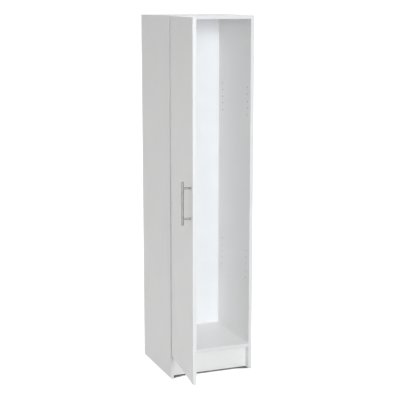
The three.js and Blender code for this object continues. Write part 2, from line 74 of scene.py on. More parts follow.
MM = 0.001
OVERRUN = 1 * MM
HINGE_LEVELS = ("lower", "middle", "upper")
HANDLE_LEVELS = ("lower", "upper")
FILLET_SHARE = 0.45
CUP_RADIUS = 17.2 * MM
CUP_FROM_EDGE = 22.5 * MM
EAR_FROM_EDGE = 32 * MM
EAR_SPACING = 45 * MM
DOOR_EDGE_ROUND = 1 * MM
ORIGIN = Vector((0.0, 0.0, 0.0))
WHITE = (1.0, 1.0, 1.0, 1.0)
Colour = tuple[float, float, float, float]
Point2 = tuple[float, float]
Point3 = tuple[float, float, float]
Socket = bpy.types.NodeSocket


class Axis(Enum):
    """A direction of the frame."""

    X = 0
    Y = 1
    Z = 2

    def point(self, along: float, first: float, second: float) -> Vector:
        """Makes a point from its place along this direction and along the next two in turn."""
        places = (along, first, second)
        return Vector([places[(axis - self.value) % 3] for axis in range(3)])


class Side(Enum):
    """One side of a board's box, as the direction it faces and which way."""

    LEFT = (Axis.X, -1)
    RIGHT = (Axis.X, 1)
    FRONT = (Axis.Y, -1)
    REAR = (Axis.Y, 1)
    BOTTOM = (Axis.Z, -1)
    TOP = (Axis.Z, 1)

    def place(self, low: Vector, high: Vector, inset: float = 0.0) -> float:
        """Gives where this side of a box lies along its direction, or a plane inside it."""
        axis, way = self.value
        return high[axis.value] - inset if way > 0 else low[axis.value] + inset

    def depth(self, point: Vector, low: Vector, high: Vector) -> float:
        """Measures how far a point lies inside this side of a box."""
        axis, way = self.value
        return way * (self.place(low, high) - point[axis.value])


class Detail(Enum):
    """How many finer layers a cloudy texture has."""

    PLAIN = 2.0
    FINE = 3.0
    RICH = 4.0
    WORN = 5.0


class Sides(IntEnum):
    """How many sides a round shape has, by its kind."""

    WIRE = 10
    NAIL = 16
    SMALL = 24
    ROUND = 32
    DRUM = 48
    LARGE = 64


class Merge(Enum):
    """A way to combine two solids, by Blender's name for it."""

    JOIN = "UNION"
    CUT = "DIFFERENCE"


class NodeGraph:
    """The nodes of one material or world, added one at a time."""

    ROUGHNESS = 0.55
    PATCHES = (0.35, 0.65)
    MIDDLE = (0.3, 0.7)

    def __init__(self, tree: bpy.types.NodeTree) -> None:
        """Starts from an empty tree."""
        self.tree = tree
        tree.nodes.clear()

    def add(self, kind: str, inputs: dict | None = None, **settings: object) -> bpy.types.Node:
        """Adds a node.

        Args:
            kind: Blender's name for the node type.
            inputs: Values or sockets, by the name or number of the input that they feed.
            **settings: Properties of the node itself.

        Returns:
            The new node.
        """
        node = self.tree.nodes.new(kind)
        for name, value in settings.items():
            setattr(node, name, value)
        for name, value in (inputs or {}).items():
            if isinstance(value, Socket):
                self.tree.links.new(value, node.inputs[name])
            else:
                node.inputs[name].default_value = value
        return node

    def position(self, stretch: Sequence[float] = (1.0, 1.0, 1.0)) -> Socket:
        """Gives the place on the piece in metres, times a factor for each direction."""
        source = self.add("ShaderNodeTexCoord").outputs["Object"]
        return self.add("ShaderNodeMapping", {"Vector": source, "Scale": stretch}).outputs[0]

    def noise(self, place: Socket, size: float, detail: Detail = Detail.PLAIN) -> Socket:
        """Adds a cloudy texture from 0 to 1.

        Args:
            place: Where on the piece it is read.
            size: The size of its patches.
            detail: How many finer layers it has.

        Returns:
            The texture.
        """
        return self.add("ShaderNodeTexNoise", {
            "Vector": place, "Scale": 1 / size, "Detail": detail.value,
            "Roughness": self.ROUGHNESS,
        }).outputs["Fac"]

    def cells(self, place: Socket, size: float, output: str) -> Socket:
        """Adds a texture of irregular cells of a size and gives one of its outputs."""
        node = self.add("ShaderNodeTexVoronoi", {"Vector": place, "Scale": 1 / size})
        return node.outputs[output]

    def spread(self, value: Socket, source: Point2, target: Point2) -> Socket:
        """Maps one range of values onto another and clips what lies outside.

        Args:
            value: The value.
            source: The range that it comes in.
            target: The range that it goes to.

        Returns:
            The mapped value.
        """
        return self.add("ShaderNodeMapRange", {
            "Value": value, "From Min": source[0], "From Max": source[1],
            "To Min": target[0], "To Max": target[1],
        }, clamp=True).outputs["Result"]

    def rough(self, texture: Socket, gloss: Point2) -> Socket:
        """Spreads the middle of a texture over a range of roughness."""
        return self.spread(texture, self.MIDDLE, gloss)

    def maths(self, operation: str, first: object, second: object) -> Socket:
        """Combines two sockets or numbers by one of Blender's operations."""
        node = self.add("ShaderNodeMath", {0: first, 1: second}, operation=operation)
        return node.outputs["Value"]

    def blend(self, share: object, first: object, second: object) -> Socket:
        """Mixes two colours or colour sockets, by how much of the second there is."""
        inputs = {0: share, 6: first, 7: second}
        return self.add("ShaderNodeMix", inputs, data_type="RGBA").outputs[2]

    def tinted(self, texture: Socket, colour: Colour, shade: Colour,
               source: Point2 = PATCHES) -> Socket:
        """Mixes a colour with its shade in the patches of a texture."""
        return self.blend(self.spread(texture, source, (0.0, 1.0)), colour, shade)

    def bump(self, height: Socket, depth: float, strength: float,
             under: Socket | None = None) -> Socket:
        """Turns a height from 0 to 1 into a normal.

        Args:
            height: The height.
            depth: What a height of 1 stands for.
            strength: How strongly it shows.
            under: Another bump that it lies over, if there is one.

        Returns:
            The normal.
        """
        below = {} if under is None else {"Normal": under}
        inputs = {"Height": height, "Distance": depth, "Strength": strength} | below
        return self.add("ShaderNodeBump", inputs).outputs["Normal"]

    def surface(self, inputs: dict) -> None:
        """Ends a material in one principled shader with these values and sockets."""
        shader = self.add("ShaderNodeBsdfPrincipled", inputs)
        self.add("ShaderNodeOutputMaterial", {"Surface": shader.outputs["BSDF"]})


@dataclass(frozen=True)
class Finish(ABC):
    """A surface finish, made into a Blender material once and shared."""

    name: str
    slot: str

    def material(self) -> bpy.types.Material:
        """Gives this finish as a material, made at its first use.

        Returns:
            The material.
        """
        found = bpy.data.materials.get(self.name)
        if found is not None:
            return found
        made = bpy.data.materials.new(self.name)
        made.use_nodes = True
        self.dress(NodeGraph(made.node_tree))
        return made

    @abstractmethod
    def dress(self, graph: NodeGraph) -> None:
        """Adds this finish's nodes to the material's empty graph."""


@dataclass(frozen=True)
class MelamineFace(Finish):
    """White melamine facing: a fine pebbled press texture, with scuffs near the floor."""

    colour: Colour = (0.955, 0.953, 0.945, 1.0)
    shade: Colour = (0.935, 0.935, 0.929, 1.0)
    scuff: Colour = (0.72, 0.71, 0.69, 1.0)
    gloss: Point2 = (0.4, 0.5)
    specular: float = 0.4
    pebble: float = 0.9 * MM
    pebble_relief: Point2 = (0.03 * MM, 0.35)
    pit: float = 2.1 * MM
    pit_relief: Point2 = (0.02 * MM, 0.2)
    mottle: float = 160 * MM
    smear: float = 45 * MM
    smear_stretch: Point3 = (1.0, 1.0, 0.3)
    scuff_height: float = 110 * MM
    scuff_size: float = 14 * MM
    scuff_patches: Point2 = (0.6, 0.72)
    scuff_strength: float = 0.3

    def dress(self, graph: NodeGraph) -> None:
        """Adds the facing's nodes.

        Args:
            graph: The material's empty node graph.
        """
        place = graph.position()
        smear = graph.noise(graph.position(self.smear_stretch), self.smear, Detail.FINE)
        height = graph.add("ShaderNodeSeparateXYZ", {"Vector": place}).outputs["Z"]
        near_floor = graph.spread(height, (0.0, self.scuff_height), (1.0, 0.0))
        marks = graph.spread(graph.noise(place, self.scuff_size, Detail.WORN), self.scuff_patches,
                             (0.0, self.scuff_strength))
        worn = graph.maths("MULTIPLY", near_floor, marks)
        clean = graph.tinted(graph.noise(place, self.mottle, Detail.RICH), self.colour, self.shade)
        fine = graph.bump(graph.noise(place, self.pebble, Detail.FINE), *self.pebble_relief)
        pits = graph.cells(place, self.pit, "Distance")
        graph.surface({
            "Base Color": graph.blend(worn, clean, self.scuff),
            "Roughness": graph.rough(smear, self.gloss),
            "Specular IOR Level": self.specular,
            "Normal": graph.bump(pits, *self.pit_relief, fine),
        })


@dataclass(frozen=True)
class EdgeBand(Finish):
    """White edge banding: smoother than the facing, with fine lines along its length."""

    colour: Colour = (0.885, 0.893, 0.898, 1.0)
    shade: Colour = (0.862, 0.87, 0.877, 1.0)
    gloss: Point2 = (0.33, 0.43)
    specular: float = 0.42
    patch: float = 60 * MM
    line: float = 0.7 * MM
    line_stretch: Point3 = (1.0, 1.0, 0.02)
    line_relief: Point2 = (0.02 * MM, 0.3)

    def dress(self, graph: NodeGraph) -> None:
        """Adds the banding's nodes.

        Args:
            graph: The material's empty node graph.
        """
        lines = graph.noise(graph.position(self.line_stretch), self.line, Detail.FINE)
        patches = graph.noise(graph.position(), self.patch, Detail.FINE)
        graph.surface({
            "Base Color": graph.tinted(patches, self.colour, self.shade, graph.MIDDLE),
            "Roughness": graph.rough(lines, self.gloss),
            "Specular IOR Level": self.specular,
            "Normal": graph.bump(lines, *self.line_relief),
        })


@dataclass(frozen=True)
class BoardCoreAndBoreShade(Finish):
    """Raw particle board, seen in bores and on unbanded edges, in a tone darker than the raw
    board's own, so that it also paints the shade inside the bores.
    """

    # Darker than raw board: partly the core's own tone, partly painted shade for the bores.
    light: Colour = (0.42, 0.345, 0.26, 1.0)
    dark: Colour = (0.2, 0.15, 0.105, 1.0)
    roughness: float = 0.9
    specular: float = 0.2
    grain: Point3 = (1.0, 1.0, 0.55)
    chip: float = 2.6 * MM
    chip_relief: Point2 = (0.4 * MM, 0.6)
    dust: float = 0.6 * MM
    dust_relief: Point2 = (0.15 * MM, 0.6)
    dust_patches: Point2 = (0.2, 0.8)
    dust_tone: Point2 = (0.5, 1.2)

    def dress(self, graph: NodeGraph) -> None:
        """Adds the core's nodes.

        Args:
            graph: The material's empty node graph.
        """
        place = graph.position(self.grain)
        tone = graph.cells(place, self.chip, "Color")
        shade = graph.add("ShaderNodeSeparateColor", {"Color": tone}).outputs["Red"]
        dust = graph.noise(place, self.dust, Detail.FINE)
        mixed = graph.maths("MULTIPLY", shade,
                            graph.spread(dust, self.dust_patches, self.dust_tone))
        chips = graph.bump(graph.cells(place, self.chip, "Distance"), *self.chip_relief)
        graph.surface({
            "Base Color": graph.blend(mixed, self.light, self.dark),
            "Roughness": self.roughness,
            "Specular IOR Level": self.specular,
            "Normal": graph.bump(dust, *self.dust_relief, chips),
        })


@dataclass(frozen=True)
class GlueLine(Finish):
    """The thin line of glue between a board and its edge banding."""

    colour: Colour = (0.62, 0.6, 0.55, 1.0)
    pale: Colour = (0.8, 0.79, 0.76, 1.0)
    gloss: Point2 = (0.5, 0.7)
    grime: float = 9 * MM

    def dress(self, graph: NodeGraph) -> None:
        """Adds the glue's nodes.

        Args:
            graph: The material's empty node graph.
        """
        grime = graph.noise(graph.position(), self.grime, Detail.RICH)
        graph.surface({
            "Base Color": graph.blend(grime, self.colour, self.pale),
            "Roughness": graph.rough(grime, self.gloss),
        })


@dataclass(frozen=True)
class PaintedHardboard(Finish):
    """Thin white hardboard: smooth paint inside, with a pressed mesh pattern behind."""

    colour: Colour = (0.925, 0.935, 0.95, 1.0)
    shade: Colour = (0.9, 0.912, 0.93, 1.0)
    gloss: Point2 = (0.45, 0.56)
    specular: float = 0.4
    mottle: float = 120 * MM
    peel: float = 1.6 * MM
    peel_relief: Point2 = (0.03 * MM, 0.3)
    meshed: bool = False
    pitch: float = 2.2 * MM
    wave_scale: float = 0.1
    waver: float = 0.4
    mesh_relief: Point2 = (0.15 * MM, 0.5)

    def dress(self, graph: NodeGraph) -> None:
        """Adds the hardboard's nodes.

        Args:
            graph: The material's empty node graph.
        """
        place = graph.position()
        peel = graph.noise(place, self.peel)
        normal = graph.bump(peel, *self.peel_relief)
        if self.meshed:
            wave = {"Vector": place, "Scale": self.wave_scale / self.pitch,
                    "Distortion": self.waver}
            across, up = (
                graph.add("ShaderNodeTexWave", wave, bands_direction=way).outputs["Fac"]
                for way in ("X", "Z")
            )
            weave = graph.maths("MULTIPLY", across, up)
            normal = graph.bump(weave, *self.mesh_relief, normal)
        graph.surface({
            "Base Color": graph.tinted(graph.noise(place, self.mottle, Detail.RICH),
                                       self.colour, self.shade),
            "Roughness": graph.rough(peel, self.gloss),
            "Specular IOR Level": self.specular,
            "Normal": normal,
        })


@dataclass(frozen=True)
class BrushedSteel(Finish):
    """Brushed steel whose brush lines run along one direction."""

    colour: Colour = (0.3, 0.296, 0.288, 1.0)
    shade: Colour = (0.23, 0.227, 0.22, 1.0)
    gloss: Point2 = (0.28, 0.44)
    grain: Axis = Axis.Z
    line: float = 0.28 * MM
    line_length: float = 18 * MM
    line_relief: Point2 = (0.02 * MM, 0.35)
    smudge: float = 22 * MM
    smudge_patches: Point2 = (0.45, 0.7)
    smudge_dulling: float = 0.06
    brushing: float = 0.35

    def dress(self, graph: NodeGraph) -> None:
        """Adds the steel's nodes.

        Args:
            graph: The material's empty node graph.
        """
        run = self.line / self.line_length
        stretch = [run if axis is self.grain else 1.0 for axis in Axis]
        lines = graph.noise(graph.position(stretch), self.line, Detail.RICH)
        smudge = graph.noise(graph.position(), self.smudge, Detail.FINE)
        touched = graph.spread(smudge, self.smudge_patches, (0.0, self.smudge_dulling))
        graph.surface({
            "Base Color": graph.tinted(lines, self.colour, self.shade),
            "Metallic": 1.0,
            "Roughness": graph.maths("ADD", graph.rough(lines, self.gloss), touched),
            "Anisotropic": self.brushing,
            "Normal": graph.bump(lines, *self.line_relief),
        })


@dataclass(frozen=True)
class CloudedMetal(Finish):
    """Plated or cast metal with light clouding and a fine skin."""

    colour: Colour = (0.62, 0.605, 0.575, 1.0)
    shade: Colour = (0.49, 0.478, 0.452, 1.0)
    gloss: Point2 = (0.23, 0.37)
    metallic: float = 1.0
    cloud: float = 7 * MM
    skin: float = 0.8 * MM
    skin_detail: Detail = Detail.PLAIN
    skin_relief: Point2 = (0.02 * MM, 0.25)

    def dress(self, graph: NodeGraph) -> None:
        """Adds the metal's nodes.

        Args:
            graph: The material's empty node graph.
        """
        place = graph.position()
        clouds = graph.noise(place, self.cloud, Detail.RICH)
        skin = graph.noise(place, self.skin, self.skin_detail)
        graph.surface({
            "Base Color": graph.tinted(clouds, self.colour, self.shade),
            "Metallic": self.metallic,
            "Roughness": graph.rough(clouds, self.gloss),
            "Normal": graph.bump(skin, *self.skin_relief),
        })


@dataclass(frozen=True)
class ClearPlastic(Finish):
    """Soft clear plastic, a little cloudy."""

    colour: Colour = (0.93, 0.94, 0.95, 1.0)
    shade: Colour = (0.85, 0.86, 0.87, 1.0)
    gloss: Point2 = (0.12, 0.25)
    haze: float = 2 * MM
    refraction: float = 1.47
    clearness: float = 0.7

    def dress(self, graph: NodeGraph) -> None:
        """Adds the plastic's nodes.

        Args:
            graph: The material's empty node graph.
        """
        haze = graph.noise(graph.position(), self.haze, Detail.FINE)
        graph.surface({
            "Base Color": graph.blend(haze, self.colour, self.shade),
            "Roughness": graph.rough(haze, self.gloss),
            "IOR": self.refraction,
            "Transmission Weight": self.clearness,
        })


@dataclass(frozen=True)
class StudioPaper(Finish):
    """The plain pale floor, with a painted contact shadow: a thin dark line before what stands on
    it.
    """

    colour: Colour = (0.93, 0.93, 0.93, 1.0)
    gloss: Point2 = (0.85, 0.95)
    specular: float = 0.1
    tooth: float = 3 * MM
    # The colour of the painted contact shadow.
    painted_shadow: Colour = (0.06, 0.06, 0.06, 1.0)
    contact_reach: float = 60 * MM
    contact_shade: Point2 = (0.42, 0.55)
    contact_way: Point3 = (0.0, 0.7, 0.7)
    contact_samples: int = 16
    glow: float = 0.6

    def dress(self, graph: NodeGraph) -> None:
        """Adds the paper's nodes.

        Args:
            graph: The material's empty node graph.
        """
        tooth = graph.noise(graph.position(), self.tooth)
        way = graph.add("ShaderNodeCombineXYZ", dict(zip("XYZ", self.contact_way)))
        # Painted shadow: ambient occlusion, tilted to look towards +Y, darkens the floor's colour
        # and glow in a thin line before the walls that stand on it.
        near = graph.add("ShaderNodeAmbientOcclusion", {
            "Distance": self.contact_reach, "Normal": way.outputs["Vector"],
        }, samples=self.contact_samples)
        clear = graph.spread(near.outputs["AO"], self.contact_shade, (0.0, 1.0))
        graph.surface({
            "Base Color": graph.blend(clear, self.painted_shadow, self.colour),
            "Roughness": graph.rough(tooth, self.gloss),
            "Specular IOR Level": self.specular,
            "Emission Color": graph.blend(clear, self.painted_shadow, WHITE),
            "Emission Strength": self.glow,
        })


BOARD_FACE = MelamineFace("melamine_face", "melamine_board")
EDGE_BAND = EdgeBand("edge_band", "melamine_board")
GLUE_LINE = GlueLine("glue_line", "melamine_board")
BOARD_CORE_AND_BORE_SHADE = BoardCoreAndBoreShade("board_core", "melamine_board")
BACK_FRONT = PaintedHardboard("hardboard_smooth_side", "hardboard_back")
BACK_REAR = PaintedHardboard("hardboard_mesh_side", "hardboard_back", meshed=True)
BAR_STEEL = BrushedSteel("handle_bar_steel", "handle_steel")
POST_STEEL = BrushedSteel("handle_post_steel", "handle_steel", line_length=0.28 * MM)
NICKEL = CloudedMetal("hinge_nickel", "hinge_nickel")
ZINC_PLATE = CloudedMetal("bright_zinc", "screw_steel", colour=(0.66, 0.67, 0.68, 1.0),
                          shade=(0.52, 0.53, 0.55, 1.0), gloss=(0.24, 0.38), cloud=3 * MM)
CAM_ZINC = CloudedMetal("cam_zinc", "cam_zinc", colour=(0.5, 0.51, 0.52, 1.0),
                        shade=(0.36, 0.37, 0.38, 1.0), gloss=(0.42, 0.6), metallic=0.9,
                        cloud=5 * MM, skin=0.5 * MM, skin_detail=Detail.FINE,
                        skin_relief=(0.05 * MM, 0.4))
BUMPER_PLASTIC = ClearPlastic("bumper_plastic", "bumper_clear")
FLOOR_PAPER = StudioPaper("studio_paper", "")


class Solid:
    """A closed mesh that is joined, cut, sliced, rounded and painted."""

    SHARP = math.radians(34)
    BEVEL_SHAPE = 0.5

    def __init__(self, mesh: bpy.types.Mesh) -> None:
        """Wraps a closed mesh."""
        self.mesh = mesh

    @classmethod
    def written(cls, shape: bmesh.types.BMesh, materials: Iterable[bpy.types.Material]) -> "Solid":
        """Writes a bmesh as a solid.

        Args:
            shape: The bmesh, which is freed.
            materials: The materials that its faces are numbered by.

        Returns:
            The solid.
        """
        mesh = bpy.data.meshes.new("shape")
        for material in materials:
            mesh.materials.append(material)
        shape.to_mesh(mesh)
        shape.free()
        return cls(mesh)

    @classmethod
    def shaped(cls, shape: bmesh.types.BMesh, finish: Finish) -> "Solid":
        """Turns a bmesh into a solid of one finish, with its faces looking outwards."""
        bmesh.ops.recalc_face_normals(shape, faces=shape.faces[:])
        return cls.written(shape, [finish.material()])

    @classmethod
    def block(cls, low: Vector, high: Vector, finish: Finish) -> "Solid":
        """Makes a rectangular solid.

        Args:
            low: Its lowest corner.
            high: Its highest corner.
            finish: Its finish.

        Returns:
            The solid.
        """
        shape = bmesh.new()
        middle, span = (low + high) / 2, high - low
        for corner in bmesh.ops.create_cube(shape, size=1.0)["verts"]:
            corner.co = middle + Vector([a * b for a, b in zip(corner.co, span)])
        return cls.shaped(shape, finish)

    @classmethod
    def turned(cls, axis: Axis, profile: Sequence[Point2], centre: Vector, finish: Finish,
               way: int = 1, sides: int = Sides.ROUND) -> "Solid":
        """Turns a profile about an axis.

        Args:
            axis: The direction of the axis.
            profile: Pairs of radius and place along the axis, from the axis to the axis.
            centre: Where the profile's zero lies.
            finish: The solid's finish.
            way: 1, or -1 to run the profile against the axis.
            sides: How many sides the round has.

        Returns:
            The solid.
        """
        shape = bmesh.new()
        turns = [2 * math.pi * index / sides for index in range(sides)]
        rings = []
        for radius, along in profile:
            angles = turns if radius > 0 else turns[:1]
            rings.append([
                shape.verts.new(centre + axis.point(
                    way * along, radius * math.cos(angle), radius * math.sin(angle)))
                for angle in angles
            ])
        for near, far in zip(rings, rings[1:]):
            for index in range(sides):
                after = (index + 1) % sides
                corners = [near[index % len(near)], near[after % len(near)],
                           far[after % len(far)], far[index % len(far)]]
                shape.faces.new(list(dict.fromkeys(corners)))
        return cls.shaped(shape, finish)

    @classmethod
    def rod(cls, axis: Axis, radius: float, span: Point2, centre: Vector, finish: Finish,
            sides: int = Sides.ROUND) -> "Solid":
        """Makes a plain round rod or the cutter for a round hole.

        Args:
            axis: Its direction.
            radius: Its radius.
            span: Where it starts and ends, from the centre along the axis.
            centre: A point on its middle line.
            finish: Its finish.
            sides: How many sides the round has.

        Returns:
            The solid.
        """
        low, high = min(span), max(span)
        profile = [(0.0, low), (radius, low), (radius, high), (0.0, high)]
        return cls.turned(axis, profile, centre, finish, sides=sides)

    @classmethod
    def prism(cls, axis: Axis, outline: Sequence[Point2], low: float, high: float,
              finish: Finish) -> "Solid":
        """Extrudes an outline along an axis.

        Args:
            axis: The direction that it is extruded in.
            outline: Its corners, across that direction.
            low: Where it starts along the axis.
            high: Where it ends.
            finish: Its finish.

        Returns:
            The solid.
        """
        shape = bmesh.new()
        ends = [[shape.verts.new(axis.point(end, *corner)) for corner in outline]
                for end in (low, high)]
        for end in ends:
            shape.faces.new(end)
        for index in range(len(outline)):
            after = (index + 1) % len(outline)
            shape.faces.new([ends[0][index], ends[0][after], ends[1][after], ends[1][index]])
        return cls.shaped(shape, finish)

    @classmethod
    def tube(cls, path: Sequence[Vector], radius: float, finish: Finish,
             sides: int = Sides.WIRE) -> "Solid":
        """Runs a round wire along a path.

        Args:
            path: The points of the wire's middle.
            radius: The wire's radius.
            finish: Its finish.
            sides: How many sides the wire has.

        Returns:
            The solid.
        """
        shape = bmesh.new()
        rings = []
        turns = [2 * math.pi * step / sides for step in range(sides)]
        across = Vector((0.0, 0.0, 1.0)).cross(path[1] - path[0]).normalized()
        for index, point in enumerate(path):
            before, after = path[max(index - 1, 0)], path[min(index + 1, len(path) - 1)]
            ahead = (after - before).normalized()
            across = (across - ahead * across.dot(ahead)).normalized()
            up = ahead.cross(across)
            rings.append([
                shape.verts.new(point + radius * (math.cos(a) * across + math.sin(a) * up))
                for a in turns
            ])
        for near, far in zip(rings, rings[1:]):
            for index in range(sides):
                after = (index + 1) % sides
                shape.faces.new([near[index], near[after], far[after], far[index]])
        for end in (rings[0], rings[-1]):
            shape.faces.new(end)
        return cls.shaped(shape, finish)

    @classmethod
    def gathered(cls, solids: Sequence["Solid"]) -> "Solid":
        """Puts solids of one finish that don't touch into one mesh.

        Args:
            solids: The solids.

        Returns:
            The mesh as one solid.
        """
        shape = bmesh.new()
        for solid in solids:
            shape.from_mesh(solid.mesh)
        return cls.written(shape, solids[0].mesh.materials)

    def opened(self) -> bmesh.types.BMesh:
        """Gives this solid's shape for editing.

        Returns:
            The shape as a bmesh.
        """
        shape = bmesh.new()
        shape.from_mesh(self.mesh)
        return shape

    def moved(self, matrix: Matrix) -> "Solid":
        """Gives a moved copy of this solid.

        Args:
            matrix: How it is moved.

        Returns:
            The copy.
        """
        mesh = self.mesh.copy()
        mesh.transform(matrix)
        return Solid(mesh)

    def rounded(self, width: float, segments: int = 2,
                where: Callable[[bmesh.types.BMEdge], bool] | None = None) -> "Solid":
        """Rounds the solid's sharp edges.

        Args:
            width: How far from the edge the rounding starts.
            segments: How many faces it has across.
            where: Says which sharp edges are rounded; all of them if left out.

        Returns:
            The solid.
        """
        shape = self.opened()
        edges = [edge for edge in shape.edges
                 if edge.calc_face_angle(0.0) > self.SHARP and (where is None or where(edge))]
        bmesh.ops.bevel(shape, geom=edges, offset=width, segments=segments,
                        profile=self.BEVEL_SHAPE, affect="EDGES", clamp_overlap=True)
        return self.written(shape, self.mesh.materials)

    def sliced(self, axis: Axis, place: float) -> "Solid":
        """Adds edges where a plane across an axis meets the surface.

        Args:
            axis: The direction that the plane faces.
            place: Where it lies.

        Returns:
            The solid.
        """
        shape = self.opened()
        bmesh.ops.bisect_plane(shape, geom=shape.verts[:] + shape.edges[:] + shape.faces[:],
                               plane_co=axis.point(place, 0.0, 0.0),
                               plane_no=axis.point(1.0, 0.0, 0.0))
        return self.written(shape, self.mesh.materials)

    def painted(self, finishes: Sequence[Finish],
                choose: Callable[[bmesh.types.BMFace], int]) -> "Solid":
        """Gives each face one of several finishes.

        Args:
            finishes: The finishes.
            choose: Gives the number of a face's finish.

        Returns:
            The solid.
        """
        shape = self.opened()
        for face in shape.faces:
            face.material_index = choose(face)
        return self.written(shape, [finish.material() for finish in finishes])

    def combined(self, tools: Sequence["Solid"], merge: Merge) -> "Solid":
        """Joins other solids to this one or cuts them from it.

        Args:
            tools: The other solids.
            merge: Which of the two.

        Returns:
            The solid.
        """
        target = shown("target", self.mesh)
        helpers = [shown("helper", tool.mesh) for tool in tools]
        for helper in helpers:
            modifier = target.modifiers.new("combine", "BOOLEAN")
            modifier.operation = merge.value
            modifier.object = helper
            modifier.solver = "EXACT"
            modifier.material_mode = "TRANSFER"
        mesh = evaluated_mesh(target)
        for item in (target, *helpers):
            bpy.data.objects.remove(item)
        return Solid(mesh)

    def cut(self, *tools: "Solid") -> "Solid":
        """Gives this solid with others cut from it."""
        return self.combined(tools, Merge.CUT)

    def joined(self, *tools: "Solid") -> "Solid":
        """Gives this solid joined with others."""
        return self.combined(tools, Merge.JOIN)

    def shaded(self, crease: float = 38.0) -> "Solid":
        """Shades curves smoothly and keeps flat faces flat.

        Args:
            crease: The angle in degrees above which an edge stays sharp.

        Returns:
            The solid.
        """
        mesh = self.mesh.copy()
        mesh.shade_smooth()
        mesh.set_sharp_from_angle(angle=math.radians(crease))
        holder = shown("holder", mesh)
        holder.modifiers.new("weighted", "WEIGHTED_NORMAL").keep_sharp = True
        finished = evaluated_mesh(holder)
        bpy.data.objects.remove(holder)
        return Solid(finished)


def shown(name: str, data: bpy.types.ID) -> bpy.types.Object:
    """Makes an object from a mesh, lamp or camera and puts it in the scene.

    Args:
        name: The object's name.
        data: What it shows.

    Returns:
        The object.
    """
    item = bpy.data.objects.new(name, data)
    bpy.context.scene.collection.objects.link(item)
    return item


def evaluated_mesh(item: bpy.types.Object) -> bpy.types.Mesh:
    """Gives an object's mesh, as a new one, with its modifiers applied."""
    graph = bpy.context.evaluated_depsgraph_get()
    return bpy.data.meshes.new_from_object(item.evaluated_get(graph))


def put_piece(name: str, solid: Solid, body: str, stands_for: Sequence[str] = (),
              at: Vector = ORIGIN) -> None:
    """Puts a finished piece on the cupboard.

    Args:
        name: The piece's name.
        solid: Its shape.
        body: The CAD body that it moves with.
        stands_for: The CAD nodes that it replaces.
        at: How far the shape is shifted.
    """
    solid.mesh.name = name
    piece = shown(name, solid.mesh)
    piece.location = at
    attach(piece, body)
    if stands_for:
        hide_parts(*stands_for)


def dress_node(node: str, finish: Finish) -> None:
    """Gives a CAD node that stays shown its finish."""
    for slot in frame["nodes"][node].material_slots:
        slot.material = finish.material()


def named_joint(name: str) -> dict:
    """Gives one of the frame's joints by its name."""
    return next(joint for joint in frame["joints"] if joint["name"] == name)


def extent(points: Iterable[Vector]) -> tuple[Vector, Vector]:
    """Gives the lowest and the highest corner of some points."""
    rows = list(zip(*points))
    return Vector([min(row) for row in rows]), Vector([max(row) for row in rows])


def filleted(outline: Sequence[Point2], radius: float, steps: int = 4) -> list[Point2]:
    """Rounds an outline's corners, each as far as its sides allow.

    Args:
        outline: The corners.
        radius: The distance from each corner at which its rounding starts.
        steps: How many parts each rounded corner has.

    Returns:
        The rounded outline.
    """
    rounded = []
    for index, corner in enumerate(outline):
        middle = Vector(corner)
        before = Vector(outline[index - 1]) - middle
        after = Vector(outline[(index + 1) % len(outline)]) - middle
        reach = min(radius, FILLET_SHARE * before.length, FILLET_SHARE * after.length)
        start, end = middle + before.normalized() * reach, middle + after.normalized() * reach
        for step in range(steps + 1):
            share = step / steps
            first, second = start.lerp(middle, share), middle.lerp(end, share)
            rounded.append(tuple(first.lerp(second, share)))
    return rounded


def quarter_turns(steps: int, quarters: int = 1) -> list[float]:
    """Gives the angles of one or more quarter turns, each in this many steps."""
    return [math.radians(90 * step / steps) for step in range(quarters * steps + 1)]


def oblong(low: float, high: float, half: float) -> list[Point2]:
    """Gives an oblong's corners, from its two ends and its half width."""
    return [(low, -half), (high, -half), (high, half), (low, half)]


def domed(radius: float, height: float, edge: float) -> list[Point2]:
    """Gives a dome's profile, from an edge at a share of its height to close to its top."""
    return [(radius * math.cos(turn), height * (edge + (1 - edge) * math.sin(turn)))
            for turn in quarter_turns(6)[:-1]]


def bore(axis: Axis, mouth: Vector, way: int, radius: float, depth: float, rim: float,
         finish: Finish, point: float = 0.2) -> Solid:
    """Makes the cutter for a drilled hole with a slightly broken rim.

    Args:
        axis: The hole's direction.
        mouth: Where it opens.
        way: 1 if it runs along the axis, -1 if against it.
        radius: Its radius.
        depth: Its depth.
        rim: How wide the broken rim is.
        finish: The finish of its wall.
        point: How far its end is pointed, as a share of the radius.

    Returns:
        The cutter.
    """
    return Solid.turned(axis, [
        (0.0, -OVERRUN), (radius + rim + OVERRUN, -OVERRUN), (radius, rim), (radius, depth),
        (0.0, depth + radius * point),
    ], mouth, finish, way, sides=Sides.SMALL)


@dataclass(frozen=True)
class DoorFrame:
    """The door's own frame: its pieces are shaped shut, and this swings them open.

    Shut, the hinge edge runs along +X and the outer face looks to -Y, with zero at the axis.
    """

    swing: Matrix
    low: Vector
    high: Vector

    @classmethod
    def from_joint(cls, joint_name: str, panel: str) -> "DoorFrame":
        """Reads the door's frame from its joint and its panel.

        Args:
            joint_name: The door's joint.
            panel: The door panel's node.

        Returns:
            The door's frame.
        """
        joint = named_joint(joint_name)
        opened = math.radians(-joint["range_deg"][0])
        place = Vector((joint["pos_m"][0], joint["pos_m"][1], 0.0))
        swing = Matrix.Translation(place) @ Matrix.Rotation(opened, 4, Vector(joint["axis"]))
        back = swing.inverted()
        return cls(swing, *extent(back @ one.co for one in frame["nodes"][panel].data.vertices))

    def box(self, node: str) -> tuple[Vector, Vector]:
        """Gives a node's lowest and highest corners with the door shut."""
        back = self.swing.inverted()
        return extent(back @ vertex.co for vertex in frame["nodes"][node].data.vertices)

    def point(self, from_edge: float, depth: float, height: float) -> Vector:
        """Gives a place by its distances from the hinge edge, the inner face and the floor."""
        return Vector((self.low.x + from_edge, self.high.y - depth, height))


